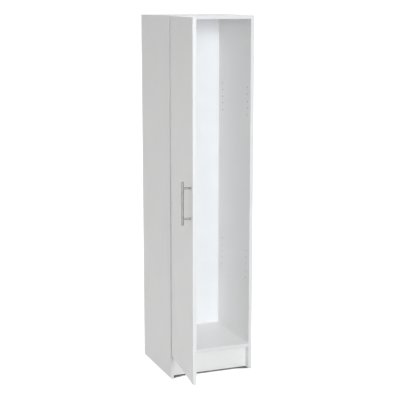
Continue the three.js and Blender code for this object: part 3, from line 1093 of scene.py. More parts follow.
@dataclass
class BoardShop:
    """Makes faced boards with banded edges."""

    edge_round: float = 0.45 * MM
    band: float = 0.6 * MM
    glue: float = 0.12 * MM
    face_slope: float = 0.3

    def board(self, low: Vector, high: Vector, thickness: Axis, banded: Sequence[Side]) -> Solid:
        """Makes a board.

        Args:
            low: Its lowest corner.
            high: Its highest corner.
            thickness: The direction across its faces.
            banded: The edges that carry banding; the others show the core.

        Returns:
            The board.
        """
        solid = Solid.block(low, high, BOARD_FACE).rounded(self.edge_round)
        for side in banded:
            for inset in (self.band, self.band + self.glue):
                solid = solid.sliced(side.value[0], side.place(low, high, inset))

        def zone(face: bmesh.types.BMFace) -> int:
            """Gives the finish of one of the board's faces.

            Args:
                face: The face.

            Returns:
                The finish's number in the list below.
            """
            centre = face.calc_center_median()
            depths = [side.depth(centre, low, high) for side in banded]
            if any(depth < self.band for depth in depths):
                return 1
            if any(depth < self.band + self.glue for depth in depths):
                return 2
            return 0 if abs(face.normal[thickness.value]) > self.face_slope else 3

        return solid.painted([BOARD_FACE, EDGE_BAND, GLUE_LINE, BOARD_CORE_AND_BORE_SHADE], zone)


class Assembly(ABC):
    """A group of pieces that are built together."""

    @abstractmethod
    def build(self) -> None:
        """Makes the group's pieces and puts them in place."""


@dataclass
class Carcass(Assembly):
    """The fixed boards, with the holes that are drilled in them, and the back's nails."""

    shop: BoardShop
    pin_radius: float = 2.5 * MM
    pin_depth: float = 10 * MM
    pin_pitch: float = 32 * MM
    pins_in_group: int = 5
    pin_front_setback: float = 37 * MM
    pin_back_setback: float = 53 * MM
    pin_groups: Point2 = (500 * MM, 1263 * MM)
    rim: float = 0.25 * MM
    bolt_bore: float = 4 * MM
    bolt_bore_depth: float = 33 * MM
    cam_clearance: float = 0.3 * MM
    back_inset: float = 0.4 * MM
    back_ease: float = 0.3 * MM
    back_slope: float = 0.5
    nail_radius: float = 1.7 * MM
    nail_height: float = 0.3 * MM
    nail_crown: float = 0.8
    nail_step: float = 150 * MM
    nail_end: float = 22 * MM
    nails_across: int = 5

    def build(self) -> None:
        """Makes the boards and the nails and puts them in place."""
        for side in (Side.LEFT, Side.RIGHT):
            self.side_board(side)
        for side in (Side.TOP, Side.BOTTOM):
            self.cross_board(side)
        self.kick_board()
        self.back_board()
        self.nails()

    def side_board(self, side: Side) -> None:
        """Makes one side, with its rebate and shelf pin holes.

        Args:
            side: Which side it is.
        """
        name, way = side.name.lower(), side.value[1]
        node = f"{name}_side_panel"
        low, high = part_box(node)
        back_low, back_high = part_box("back_panel")
        rebate = back_high.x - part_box("bottom_panel")[1].x
        inner = low.x if way > 0 else high.x
        near, far = inner - way * OVERRUN, inner + way * (rebate + self.cam_clearance)
        groove = Solid.block(
            Vector((min(near, far), back_low.y, low.z - OVERRUN)),
            Vector((max(near, far), high.y + OVERRUN, high.z + OVERRUN)), BOARD_CORE_AND_BORE_SHADE)
        heights = [middle + (index - (self.pins_in_group - 1) / 2) * self.pin_pitch
                   for middle in self.pin_groups for index in range(self.pins_in_group)]
        holes = [
            bore(Axis.X, Vector((inner, y, z)), way, self.pin_radius, self.pin_depth, self.rim,
                 BOARD_CORE_AND_BORE_SHADE)
            for y in (low.y + self.pin_front_setback, high.y - self.pin_back_setback)
            for z in heights
        ]
        board = self.shop.board(low, high, Axis.X, (Side.FRONT, Side.TOP))
        board = board.cut(groove, Solid.gathered(holes))
        put_piece(f"{name}_side_board", board.shaded(), "carcass", [node])

    def cross_board(self, side: Side) -> None:
        """Makes the top or the bottom, with the bores for its cam fittings.

        Args:
            side: Which of the two it is.
        """
        name, way = side.name.lower(), side.value[1]
        low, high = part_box(f"{name}_panel")
        face = side.place(low, high)
        cams, bolts = [], []
        for lock in cam_locks(name):
            cam_low, cam_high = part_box(lock)
            middle = (cam_low + cam_high) / 2
            radius = (cam_high.x - cam_low.x) / 2 + self.cam_clearance
            depth = abs(face - (cam_low.z if way > 0 else cam_high.z)) + self.cam_clearance
            cams.append(bore(Axis.Z, Vector((middle.x, middle.y, face)), -way, radius, depth,
                             self.rim, BOARD_CORE_AND_BORE_SHADE))
            outward = 1 if middle.x > 0 else -1
            end = Vector((outward * high.x, middle.y, (low.z + high.z) / 2))
            bolts.append(bore(Axis.X, end, -outward, self.bolt_bore, self.bolt_bore_depth,
                              self.rim, BOARD_CORE_AND_BORE_SHADE))
        board = self.shop.board(low, high, Axis.Z, (Side.FRONT,))
        board = board.cut(Solid.gathered(cams), Solid.gathered(bolts))
        put_piece(f"{name}_board", board.shaded(), "carcass", [f"{name}_panel"])

    def kick_board(self) -> None:
        """Makes the recessed board under the bottom."""
        board = self.shop.board(*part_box("kick_board"), Axis.Y, ())
        put_piece("faced_kick_board", board.shaded(), "carcass", ["kick_board"])

    def back_board(self) -> None:
        """Makes the thin back, set in a little so that its nails stay within the sides."""
        low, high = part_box("back_panel")
        high.y -= self.back_inset
        board = Solid.block(low, high, BACK_FRONT).rounded(self.back_ease, segments=1)
        board = board.painted([BACK_FRONT, BACK_REAR],
                              lambda face: int(face.normal.y > self.back_slope))
        put_piece("back_board", board.shaded(), "carcass", ["back_panel"])

    def nails(self) -> None:
        """Makes the row of nail heads round the edge of the back."""
        low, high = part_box("back_panel")
        bottom_low, bottom_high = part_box("bottom_panel")
        column = (bottom_high.x + high.x) / 2
        length = high.z - low.z - 2 * self.nail_end
        count = round(length / self.nail_step)
        places = [(way * column, low.z + self.nail_end + length * index / count)
                  for way in (-1, 1) for index in range(count + 1)]
        width = 2 * bottom_high.x - 2 * self.nail_end
        rows = ((bottom_low.z + bottom_high.z) / 2, (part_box("top_panel")[0].z + high.z) / 2)
        places += [(-width / 2 + width * index / (self.nails_across - 1), row)
                   for row in rows for index in range(self.nails_across)]
        radius, height = self.nail_radius, self.nail_height
        profile = [(0.0, 0.0), (radius, 0.0), (radius, height / 2),
                   (radius * self.nail_crown, height), (0.0, height)]
        heads = [Solid.turned(Axis.Y, profile, Vector((x, high.y - self.back_inset, z)),
                              ZINC_PLATE, sides=Sides.NAIL) for x, z in places]
        put_piece("back_nails", Solid.gathered(heads).shaded(), "carcass")


def cam_locks(board: str) -> list[str]:
    """Gives the names of the nodes of a board's cam locks."""
    return [f"{board}_{side}_{end}_cam_lock" for side in ("left", "right")
            for end in ("front", "back")]


@dataclass
class CamFittings(Assembly):
    """The cam locks that draw the boards together, and their bolts."""

    ease: float = 0.5 * MM
    slot_length: float = 8 * MM
    slot_width: float = 1.5 * MM
    slot_depth: float = 1.6 * MM
    groove_radius: float = 6.1 * MM
    groove_width: float = 0.5 * MM
    channel_radius: float = 3.4 * MM
    channel_point: float = 0.4

    def build(self) -> None:
        """Makes the cam locks in place and finishes their bolts."""
        for board, way in (("top", 1), ("bottom", -1)):
            for node in cam_locks(board):
                self.lock(node, way)
                dress_node(node.replace("lock", "bolt"), ZINC_PLATE)

    def lock(self, node: str, way: int) -> None:
        """Makes one cam lock: a drum with a cross recess and a side channel for the bolt.

        Args:
            node: Its CAD node.
            way: 1 if its face looks up, -1 if down.
        """
        low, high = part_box(node)
        radius, height = (high.x - low.x) / 2, high.z - low.z
        middle = (low + high) / 2
        face = Vector((middle.x, middle.y, high.z if way > 0 else low.z))
        inner, outer = self.groove_radius - self.groove_width, self.groove_radius
        drum = Solid.turned(Axis.Z, [
            (0.0, -height), (radius - self.ease, -height), (radius, -height + self.ease),
            (radius, -self.ease), (radius - self.ease, 0.0), (outer, 0.0),
            (outer - self.groove_width / 2, -self.groove_width), (inner, 0.0), (0.0, 0.0),
        ], face, CAM_ZINC, way, sides=Sides.DRUM)
        deep, shallow = face.z - way * self.slot_depth, face.z + way * OVERRUN
        half_length, half_width = self.slot_length / 2, self.slot_width / 2
        arms = [
            Solid.block(Vector((face.x - x, face.y - y, min(deep, shallow))),
                        Vector((face.x + x, face.y + y, max(deep, shallow))), CAM_ZINC)
            for x, y in ((half_length, half_width), (half_width, half_length))
        ]
        length = radius + OVERRUN
        channel = Solid.turned(Axis.X, [
            (0.0, -self.channel_radius * self.channel_point), (self.channel_radius, 0.0),
            (self.channel_radius, length), (0.0, length),
        ], middle, CAM_ZINC, 1 if middle.x > 0 else -1)
        put_piece(f"{node}_cast", drum.cut(channel, *arms).shaded(), "carcass",
                  [node])


@dataclass
class Screws:
    """Pan head screws with a cross recess, each kind made once and used many times."""

    rim_share: float = 0.45
    recess_share: float = 0.62
    recess_width: float = 0.95 * MM
    recess_depth: float = 1.2 * MM
    thread_pitch: float = 1.6 * MM
    thread_depth: float = 0.4 * MM
    tip: float = 1.8 * MM

    def screw(self, axis: Axis, head_radius: float, head_height: float, shank_radius: float,
              length: float) -> Solid:
        """Makes a screw whose head stands on zero and whose shank runs along the axis.

        Args:
            axis: The screw's direction.
            head_radius: The head's radius.
            head_height: How high the head stands.
            shank_radius: The thread's radius.
            length: The shank's length.

        Returns:
            The screw.
        """
        dome = domed(head_radius, -head_height, self.rim_share)
        profile = [(0.0, -head_height), *dome[::-1], (head_radius, 0.0), (shank_radius, 0.0)]
        along = self.thread_pitch / 2
        while along < length - self.tip - self.thread_pitch:
            profile += [(shank_radius - self.thread_depth, along),
                        (shank_radius, along + self.thread_pitch / 2)]
            along += self.thread_pitch
        profile += [(shank_radius - self.thread_depth, length - self.tip), (0.0, length)]
        solid = Solid.turned(axis, profile, ORIGIN, ZINC_PLATE, sides=Sides.SMALL)
        reach, half = head_radius * self.recess_share, self.recess_width / 2
        top, floor = -head_height - OVERRUN, -head_height + self.recess_depth
        return solid.cut(*(
            Solid.prism(axis, oblong(-a, a, b), top, floor, ZINC_PLATE)
            for a, b in ((reach, half), (half, reach))
        ))


@dataclass
class Door(Assembly):
    """The door board, its handle and its bumpers."""

    place: DoorFrame
    shop: BoardShop
    screws: Screws
    cup_clearance: float = 0.3 * MM
    cup_rim: float = 0.3 * MM
    screw_bore: float = 2.3 * MM
    screw_bore_depth: float = 10.3 * MM
    screw_bore_rim: float = 0.2 * MM
    bar_skin: float = 0.05 * MM
    bar_ease: float = 0.9 * MM
    bar_ease_steps: int = 3
    bar_dome: float = 0.35 * MM
    post_ease: float = 0.4 * MM
    saddle_gap: float = 0.04 * MM
    foot_gap: float = 0.05 * MM
    screw_head: Point2 = (4.4 * MM, 2.0 * MM)
    screw_shank: float = 2 * MM
    bumper_edge: float = 0.3

    def build(self) -> None:
        """Makes the door's own pieces and puts them in place."""
        self.panel()
        self.bar()
        for level in HANDLE_LEVELS:
            self.post(level)
            self.handle_screw(level)
            self.bumper(level)

    def put(self, name: str, solid: Solid, slot: str, node: str) -> None:
        """Swings a piece that was shaped shut and puts it on the door for its CAD node."""
        put_piece(name, solid.shaded().moved(self.place.swing), "door", [node])

    def panel(self) -> None:
        """Makes the door board, banded all round, with its cup, screw and handle bores."""
        low, high = self.place.low, self.place.high
        cups, screws = [], []
        for level in HINGE_LEVELS:
            cup_low, cup_high = self.place.box(f"{level}_hinge_cup")
            height = (cup_low.z + cup_high.z) / 2
            mouth = self.place.point(CUP_FROM_EDGE, 0.0, height)
            depth = high.y - cup_low.y + self.cup_clearance
            cups.append(bore(Axis.Y, mouth, -1, CUP_RADIUS + self.cup_clearance, depth,
                             self.cup_rim, BOARD_CORE_AND_BORE_SHADE, 0.0))
            for way in (-1, 1):
                spot = self.place.point(EAR_FROM_EDGE, 0.0, height + way * EAR_SPACING / 2)
                screws.append(bore(Axis.Y, spot, -1, self.screw_bore, self.screw_bore_depth,
                                   self.screw_bore_rim, BOARD_CORE_AND_BORE_SHADE))
        for level in HANDLE_LEVELS:
            post_low, post_high = self.place.box(f"handle_post_{level}")
            middle = (post_low + post_high) / 2
            mouth = Vector((middle.x, high.y, middle.z))
            screws.append(bore(Axis.Y, mouth, -1, self.screw_bore, high.y - low.y + OVERRUN,
                               self.screw_bore_rim, BOARD_CORE_AND_BORE_SHADE))
        board = self.shop.board(low, high, Axis.Y, (Side.LEFT, Side.RIGHT, Side.BOTTOM, Side.TOP))
        board = board.cut(Solid.gathered(cups), Solid.gathered(screws))
        self.put("door_board", board, BOARD_FACE.slot, "door_panel")

    def bar(self) -> None:
        """Makes the handle's bar with eased, slightly domed ends."""
        low, high = self.place.box("handle_bar")
        radius, half = (high.x - low.x) / 2 - self.bar_skin, (high.z - low.z) / 2
        ends = [(radius - self.bar_ease + self.bar_ease * math.cos(turn),
                 half - self.bar_dome - self.bar_ease * (1 - math.sin(turn)))
                for turn in quarter_turns(self.bar_ease_steps)]
        upper = [*ends, (radius / 2, half - self.bar_dome / 4), (0.0, half)]
        profile = [(r, -z) for r, z in reversed(upper)] + upper
        bar = Solid.turned(Axis.Z, profile, (low + high) / 2, BAR_STEEL, sides=Sides.LARGE)
        self.put("handle_bar_brushed", bar, BAR_STEEL.slot, "handle_bar")

    def post(self, level: str) -> None:
        """Makes one post: turned, saddled onto the bar and eased at its foot.

        Args:
            level: Which post, lower or upper.
        """
        node = f"handle_post_{level}"
        low, high = self.place.box(node)
        bar_low, bar_high = self.place.box("handle_bar")
        axis, middle = (bar_low + bar_high) / 2, (low + high) / 2
        radius = (high.x - low.x) / 2
        foot = self.place.low.y - self.foot_gap
        length = foot - axis.y
        post = Solid.turned(Axis.Y, [
            (0.0, 0.0), (radius - self.post_ease, 0.0), (radius, self.post_ease),
            (radius, length), (0.0, length),
        ], Vector((middle.x, foot, middle.z)), POST_STEEL, -1, sides=Sides.DRUM)
        reach = radius + 2 * OVERRUN
        saddle = Solid.rod(Axis.Z, (bar_high.x - bar_low.x) / 2 + self.saddle_gap, (-reach, reach),
                           Vector((axis.x, axis.y, middle.z)), POST_STEEL, sides=Sides.LARGE)
        self.put(f"{node}_turned", post.cut(saddle), POST_STEEL.slot, node)

    def handle_screw(self, level: str) -> None:
        """Makes the screw that holds one post from the door's inner face.

        Args:
            level: Which screw, lower or upper.
        """
        node = f"handle_screw_{level}"
        low, high = self.place.box(node)
        length = high.y - low.y - self.screw_head[1]
        screw = self.screws.screw(Axis.Y, *self.screw_head, self.screw_shank, length)
        middle = (low + high) / 2
        seat = Vector((middle.x, self.place.high.y + self.foot_gap, middle.z))
        turn = Matrix.Translation(seat) @ Matrix.Rotation(math.pi, 4, "Z")
        self.put(f"{node}_plated", screw.moved(turn), ZINC_PLATE.slot, node)

    def bumper(self, level: str) -> None:
        """Makes one clear bumper, domed, on the door's inner face.

        Args:
            level: Which bumper, lower or upper.
        """
        node = f"door_bumper_{level}"
        low, high = self.place.box(node)
        seat = self.place.high.y + self.foot_gap
        radius, height = (high.x - low.x) / 2, high.y - self.place.high.y - self.foot_gap
        middle = (low + high) / 2
        profile = [(0.0, 0.0), (radius, 0.0), *domed(radius, height, self.bumper_edge),
                   (0.0, height)]
        bumper = Solid.turned(Axis.Y, profile, Vector((middle.x, seat, middle.z)), BUMPER_PLASTIC)
        self.put(f"{node}_clear", bumper, BUMPER_PLASTIC.slot, node)


@dataclass
class Hinges(Assembly):
    """The three concealed hinges: plate, arm, links, cup, spring and screws.

    The fixed pieces are shaped by height above the side's inner face, setback from the front
    and height from the hinge's middle, and the cup's by the shut door.
    """

    place: DoorFrame
    screws: Screws
    gap: float = 0.3 * MM
    seat_gap: float = 0.05 * MM
    hole_rim: float = 0.3 * MM
    sheet: float = 1.3 * MM
    inner_half: float = 5.6 * MM
    body_height: float = 11 * MM
    skirt_height: float = 3 * MM
    neck_start: float = 10 * MM
    neck_low: float = 4 * MM
    arm_length: float = 62 * MM
    arm_corner: float = 2.5 * MM
    web_end: float = -6 * MM
    web_round: float = 1.1 * MM
    nose_radius: float = 2.4 * MM
    pin_radius: float = 1 * MM
    rivet_radius: float = 1.5 * MM
    rivet_height: float = 0.35 * MM
    rivet_crown: Point2 = (0.85, 0.7)
    clamp_setback: float = 46 * MM
    slot_radius: float = 2.9 * MM
    slot_travel: float = 2 * MM
    slot_steps: int = 6
    clamp_head: Point2 = (4.6 * MM, 2.2 * MM)
    clamp_shank: Point2 = (2.6 * MM, 9 * MM)
    wood_head: Point2 = (3.8 * MM, 2.0 * MM)
    wood_shank: float = 2 * MM
    plate_screw_length: float = 12 * MM
    cup_screw_length: float = 10 * MM
    plate_setback: float = 37 * MM
    plate_screw_spacing: float = 32 * MM
    wing_thickness: float = 2 * MM
    wing_half: float = 9 * MM
    wing_reach: float = 22 * MM
    wing_corner: float = 5 * MM
    wing_ease: float = 0.4 * MM
    block_span: Point2 = (14 * MM, 60 * MM)
    block_corner: float = 1.5 * MM
    block_ease: float = 0.5 * MM
    adjust_setback: float = 24 * MM
    adjust_radius: float = 2.6 * MM
    adjust_rise: float = 0.5 * MM
    adjust_depth: float = 1.5 * MM
    adjust_crown: float = 0.88
    adjust_slot: float = 0.4 * MM
    link_width: float = 5 * MM
    link_half: float = 0.6 * MM
    link_play: float = 0.1 * MM
    arm_eye: float = 2 * MM
    cup_eye: float = 1.4 * MM
    outer_cup_pin: Point2 = (11.2 * MM, 3.5 * MM)
    inner_cup_pin: Point2 = (11.42 * MM, 3.3 * MM)
    outer_knee: Point2 = (0.75, 1.4 * MM)
    inner_knee: Point2 = (0.6, 0.6 * MM)
    bend_reach: float = 2.5 * MM
    bend_steps: int = 4
    cup_wall: float = 0.9 * MM
    cup_depth: float = 11.3 * MM
    cup_floor: float = 0.8 * MM
    cup_corner: float = 2.2 * MM
    cup_corner_steps: int = 3
    flange_radius: float = 19 * MM
    flange: float = 1.2 * MM
    flange_ease: float = 0.3 * MM
    short_arc_steps: int = 12
    long_arc_steps: int = 36
    dimple_radius: float = 5 * MM
    dimple_depth: float = 0.45 * MM
    dimple_slope: float = 0.85
    ear_radius: float = 6 * MM
    notch_half: float = 7.7 * MM
    lug_thickness: float = 1.6 * MM
    lug_width: float = 3.4 * MM
    lug_crown: float = 0.6
    lug_steps: int = 3
    lug_pin_end: float = 0.6 * MM
    wire: float = 0.4 * MM
    wire_gap: float = 0.1 * MM
    coil_radius: float = 1.75 * MM
    coil_pitch: float = 0.84 * MM
    coil_turns: int = 2
    coil_steps: int = 16
    leg_lift: float = 0.48 * MM
    leg_drop: float = 1.5 * MM
    leg_places: tuple[float, ...] = (0.3 * MM, 3 * MM, 6 * MM, 13 * MM)

    def build(self) -> None:
        """Makes each kind of piece once and puts it at the three hinges."""
        side_low, side_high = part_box("left_side_panel")
        corner = Vector((side_high.x, side_low.y, 0.0))
        swing, back = self.place.swing, Matrix.Rotation(math.pi, 4, "Z")
        arm, plate, adjuster = (
            one.shaded() for one in (self.arm(corner), self.plate(), self.adjuster()))
        cup, spring = (one.shaded().moved(swing) for one in (self.cup(), self.spring()))
        clamp, wood, cup_screw = (
            self.screws.screw(*sizes).moved(back).shaded() for sizes in (
                (Axis.X, *self.clamp_head, *self.clamp_shank),
                (Axis.X, *self.wood_head, self.wood_shank, self.plate_screw_length),
                (Axis.Y, *self.wood_head, self.wood_shank, self.cup_screw_length)))
        cup_screw = cup_screw.moved(swing.to_3x3().to_4x4())
        for level in HINGE_LEVELS:
            low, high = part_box(f"{level}_hinge_plate")
            height = (low.z + high.z) / 2
            at, up = corner + Vector((0.0, 0.0, height)), Vector((0.0, 0.0, height))
            self.put_fixed(level, "arm", arm, NICKEL, at)
            self.put_fixed(level, "plate", plate, NICKEL, at)
            head = at + Vector((self.body_height + self.seat_gap, self.clamp_setback, 0.0))
            self.put_fixed(level, "clamp_screw", clamp, ZINC_PLATE, head)
            put_piece(f"{level}_hinge_adjuster", adjuster, "carcass", (),
                      at + Vector((self.body_height, self.adjust_setback, 0.0)))
            put_piece(f"{level}_hinge_cup_drawn", cup, "door",
                      [f"{level}_hinge_cup"], up)
            put_piece(f"{level}_hinge_spring", spring, "door", (), up)
            for name, way in (("lower", -1), ("upper", 1)):
                spot = at + Vector((self.wing_thickness + self.seat_gap, self.plate_setback,
                                    way * self.plate_screw_spacing / 2))
                self.put_fixed(level, f"plate_screw_{name}", wood, ZINC_PLATE, spot)
                seat = swing @ self.place.point(
                    EAR_FROM_EDGE, -self.flange - 2 * self.seat_gap,
                    height + way * EAR_SPACING / 2)
                node = f"{level}_hinge_cup_screw_{name}"
                put_piece(f"{node}_plated", cup_screw, "door", [node], seat)
            self.link(level, height, "outer", self.outer_cup_pin, self.outer_knee, -1)
            self.link(level, height, "inner", self.inner_cup_pin, self.inner_knee, 1)

    def put_fixed(self, level: str, kind: str, solid: Solid, finish: Finish, at: Vector) -> None:
        """Puts one of a hinge's fixed pieces in place of its CAD node."""
        node = f"{level}_hinge_{kind}"
        put_piece(f"{node}_plated", solid, "carcass", [node], at)

    def arm_pin(self, kind: str, corner: Vector) -> Vector:
        """Finds the outer or inner link's pin, from the side's front inner corner."""
        place = named_joint(f"middle_{kind}_link_turn")["pos_m"]
        return Vector((place[0] - corner.x, place[1] - corner.y, 0.0))

    def arm(self, corner: Vector) -> Solid:
        """Makes the hinge arm: a folded channel whose nose carries the two link pins.

        Args:
            corner: The side's front inner corner.

        Returns:
            The arm.
        """
        outer, inner = self.arm_pin("outer", corner), self.arm_pin("inner", corner)
        nose_low = min(outer.x, inner.x) - self.nose_radius
        nose_high = max(outer.x, inner.x) + self.nose_radius
        nose_y = (outer.y + inner.y) / 2
        half = self.inner_half + self.sheet
        body = Solid.prism(Axis.Z, filleted([
            (nose_low, nose_y), (nose_high, nose_y), (nose_high, self.web_end / 2),
            (self.body_height, self.neck_start), (self.body_height, self.arm_length),
            (self.skirt_height, self.arm_length), (self.skirt_height, self.neck_start),
            (self.neck_low, 0.0),
        ], self.arm_corner), -half, half, NICKEL)

        def on_web(edge: bmesh.types.BMEdge) -> bool:
            """Says whether an edge lies where the web folds into a cheek.

            Args:
                edge: The edge.

            Returns:
                Whether it lies there.
            """
            centre = (edge.verts[0].co + edge.verts[1].co) / 2
            flat = abs(edge.verts[0].co.z - edge.verts[1].co.z) < self.gap
            return flat and centre.x > self.body_height - self.gap and centre.y > self.web_end / 2

        body = body.rounded(self.web_round, segments=3, where=on_web)
        discs = [Solid.rod(Axis.Z, self.nose_radius, (-half, half), pin, NICKEL)
                 for pin in (outer, inner)]
        far = nose_high + OVERRUN
        under = self.body_height - self.sheet
        start = outer.y - self.nose_radius - OVERRUN
        channel = Solid.prism(Axis.Z, [
            (-OVERRUN, self.arm_length + OVERRUN), (-OVERRUN, start), (far, start),
            (far, self.web_end), (nose_high - self.sheet, self.web_end),
            (nose_high - self.sheet, self.web_end / 2),
            (under, self.neck_start + self.sheet / 2), (under, self.arm_length + OVERRUN),
        ], -self.inner_half, self.inner_half, NICKEL)
        stadium = []
        for turn in quarter_turns(self.slot_steps, 4)[:-1]:
            shift = self.slot_travel if math.cos(turn) > 0 else -self.slot_travel
            stadium.append((self.clamp_setback + shift + self.slot_radius * math.cos(turn),
                            self.slot_radius * math.sin(turn)))
        slot = Solid.prism(Axis.X, stadium, under - OVERRUN, self.body_height + OVERRUN, NICKEL)
        arm = body.joined(*discs).cut(channel, slot)
        return arm.joined(*self.arm_pins(outer, -1, half), *self.arm_pins(inner, 1, half))

    def arm_pins(self, pin: Vector, way: int, half: float) -> list[Solid]:
        """Makes a link's pin, from the cheek past the link, and its rivet heads outside.

        Args:
            pin: The pin's place.
            way: The cheek that it stands on, -1 or 1.
            half: The arm's half width.

        Returns:
            The pin and its head.
        """
        length = half - self.sheet / 2 - self.gap
        rod = Solid.turned(Axis.Z, [
            (0.0, 0.0), (self.pin_radius, 0.0), (self.pin_radius, length), (0.0, length),
        ], pin + Vector((0.0, 0.0, way * self.gap)), NICKEL, way, sides=Sides.SMALL)
        radius, flat = self.rivet_radius, self.rivet_crown
        head = Solid.turned(Axis.Z, [
            (0.0, -self.sheet / 2), (radius, -self.sheet / 2), (radius, 0.0),
            (radius * flat[0], self.rivet_height * flat[1]), (0.0, self.rivet_height),
        ], pin + Vector((0.0, 0.0, way * half)), NICKEL, way, sides=Sides.SMALL)
        return [rod, head]

    def plate(self) -> Solid:
        """Makes the mounting plate: two wings on the side and a raised block under the arm.

        Returns:
            The plate.
        """
        top = self.body_height - self.sheet - self.gap
        half = self.inner_half - self.gap
        start, end = self.block_span
        raised = Solid.prism(Axis.X, filleted(
            oblong(start, end, half), self.block_corner, steps=3,
        ), 0.0, top, NICKEL).rounded(self.block_ease)
        low, high = self.plate_setback - self.wing_half, self.plate_setback + self.wing_half
        wing = Solid.prism(Axis.X, filleted(
            oblong(low, high, self.wing_reach), self.wing_corner, steps=5,
        ), 0.0, self.wing_thickness, NICKEL).rounded(self.wing_ease)
        holes = [
            bore(Axis.X, Vector((self.wing_thickness, self.plate_setback,
                                 way * self.plate_screw_spacing / 2)), -1,
                 self.wood_shank + self.gap, self.wing_thickness + OVERRUN, self.hole_rim, NICKEL)
            for way in (-1, 1)
        ]
        shank_radius, shank_length = self.clamp_shank
        thread = bore(Axis.X, Vector((top, self.clamp_setback, 0.0)), -1,
                      shank_radius + self.gap, shank_length, self.hole_rim, NICKEL)
        return raised.joined(wing).cut(*holes, thread)

    def adjuster(self) -> Solid:
        """Makes the slotted screw in the arm's web that moves the door sideways.

        Returns:
            The screw, its zero at the web's face.
        """
        radius, above, half = self.adjust_radius, self.adjust_rise, self.adjust_slot
        screw = Solid.turned(Axis.X, [
            (0.0, -self.adjust_depth), (radius, -self.adjust_depth), (radius, above / 2),
            (radius * self.adjust_crown, above), (0.0, above),
        ], ORIGIN, ZINC_PLATE)
        return screw.cut(Solid.block(
            Vector((-half, -half, -radius - OVERRUN)),
            Vector((above + OVERRUN, half, radius + OVERRUN)), ZINC_PLATE))

    def link(self, level: str, height: float, kind: str, cup_pin: Point2, knee: Point2,
             way: int) -> None:
        """Makes one of a hinge's cranked links, from its arm pin towards its cup pin.

        Args:
            level: Which hinge.
            height: The hinge's height.
            kind: Which link, outer or inner.
            cup_pin: Its cup pin's distance from the door's edge and below the door's face.
            knee: Where it bends, as a share of its length, and how far out.
            way: The side of the hinge's middle that it lies on, -1 or 1.
        """
        pin = Vector(named_joint(f"{level}_{kind}_link_turn")["pos_m"])
        aim = self.place.swing @ self.place.point(*cup_pin, pin.z) - pin
        length, play = aim.length, self.pin_radius + self.link_play
        near, far = way * self.gap, way * (self.gap + self.link_width)
        low, high = min(near, far), max(near, far)
        middle = [(0.0, 0.0), (length * knee[0], knee[1]), (length, 0.0)]
        strip = Solid.prism(Axis.Z, self.ribbon(middle), low, high, NICKEL)
        eyes = [Solid.rod(Axis.Z, radius, (low, high), Vector((x, 0.0, 0.0)), NICKEL)
                for x, radius in ((0.0, self.arm_eye), (length, self.cup_eye))]
        hole = Solid.rod(Axis.Z, play, (low - OVERRUN, high + OVERRUN), ORIGIN, NICKEL,
                         sides=Sides.SMALL)
        link = strip.joined(*eyes).cut(hole).shaded()
        turn = Matrix.Rotation(math.atan2(aim.y, aim.x), 4, "Z")
        node = f"{level}_hinge_{kind}_link"
        put_piece(f"{node}_pressed", link.moved(turn), f"{level}_{kind}_link",
                  [node], Vector((pin.x, pin.y, height)))

    def ribbon(self, middle: Sequence[Point2]) -> list[Point2]:
        """Gives the outline of a strip with one rounded bend.

        Args:
            middle: Its middle line's start, bend and end.

        Returns:
            The outline.
        """
        bend = filleted(middle, self.bend_reach, self.bend_steps)
        count = self.bend_steps + 1
        path = [middle[0], *bend[count:2 * count], middle[-1]]
        above, below = [], []
        for index, point in enumerate(path):
            before = Vector(path[max(index - 1, 0)])
            after = Vector(path[min(index + 1, len(path) - 1)])
            ahead = (after - before).normalized()
            side = Vector((-ahead.y, ahead.x)) * self.link_half
            above.append(tuple(Vector(point) + side))
            below.append(tuple(Vector(point) - side))
        return above + below[::-1]

    def flange_plan(self, centre: Vector) -> list[Point2]:
        """Draws the cup's flange with its two ears, as heights and places across the door.

        Args:
            centre: The cup's middle.

        Returns:
            The outline.
        """
        def arc(offset: float, height: float, radius: float, span: Point2,
                steps: int) -> list[Point2]:
            """Gives an arc about a point beside the cup's middle.

            Args:
                offset: How far the point lies from the middle, across the door.
                height: Its height above the middle.
                radius: The arc's radius.
                span: The angles that it starts and ends at.
                steps: How many parts it has.

            Returns:
                The arc's points.
            """
            turns = (span[0] + (span[1] - span[0]) * step / steps for step in range(steps + 1))
            return [(height + radius * math.sin(turn), centre.x + offset + radius * math.cos(turn))
                    for turn in turns]

        shift, rise = EAR_FROM_EDGE - CUP_FROM_EDGE, EAR_SPACING / 2
        ear, wide = self.ear_radius, self.flange_radius
        near, far = math.acos((shift + ear) / wide), math.acos((shift - ear) / wide)
        short, long = self.short_arc_steps, self.long_arc_steps
        return [
            *arc(0.0, 0.0, wide, (-near, near), short),
            *arc(shift, rise, ear, (0.0, math.pi), short),
            *arc(0.0, 0.0, wide, (far, 2 * math.pi - far), long),
            *arc(shift, -rise, ear, (math.pi, 2 * math.pi), short),
        ]

    def cup(self) -> Solid:
        """Makes the hinge cup: a drawn drum with a flange, two ears, and lugs for the links.

        Returns:
            The cup.
        """
        centre = self.place.point(CUP_FROM_EDGE, 0.0, 0.0)
        corner = self.cup_corner
        top = self.flange + self.seat_gap
        face = centre.y + self.seat_gap

        def drum(mouth: Sequence[Point2], bottom: float, floor: Sequence[Point2]) -> Solid:
            """Makes a round drum that is rounded at the foot of its wall.

            Args:
                mouth: The profile of its open end, down to the wall.
                bottom: How deep the wall reaches.
                floor: The profile of its floor, in from the wall.

            Returns:
                The drum.
            """
            radius = mouth[-1][0]
            curve = [
                (radius - corner * (1 - math.cos(turn)), bottom - corner * (1 - math.sin(turn)))
                for turn in quarter_turns(self.cup_corner_steps)
            ]
            return Solid.turned(Axis.Y, [*mouth, *curve, *floor], centre, NICKEL, -1,
                                sides=Sides.LARGE)

        def on_rim(edge: bmesh.types.BMEdge) -> bool:
            """Says whether an edge runs round one of the flange's faces."""
            return abs(edge.verts[0].co.y - edge.verts[1].co.y) < self.gap

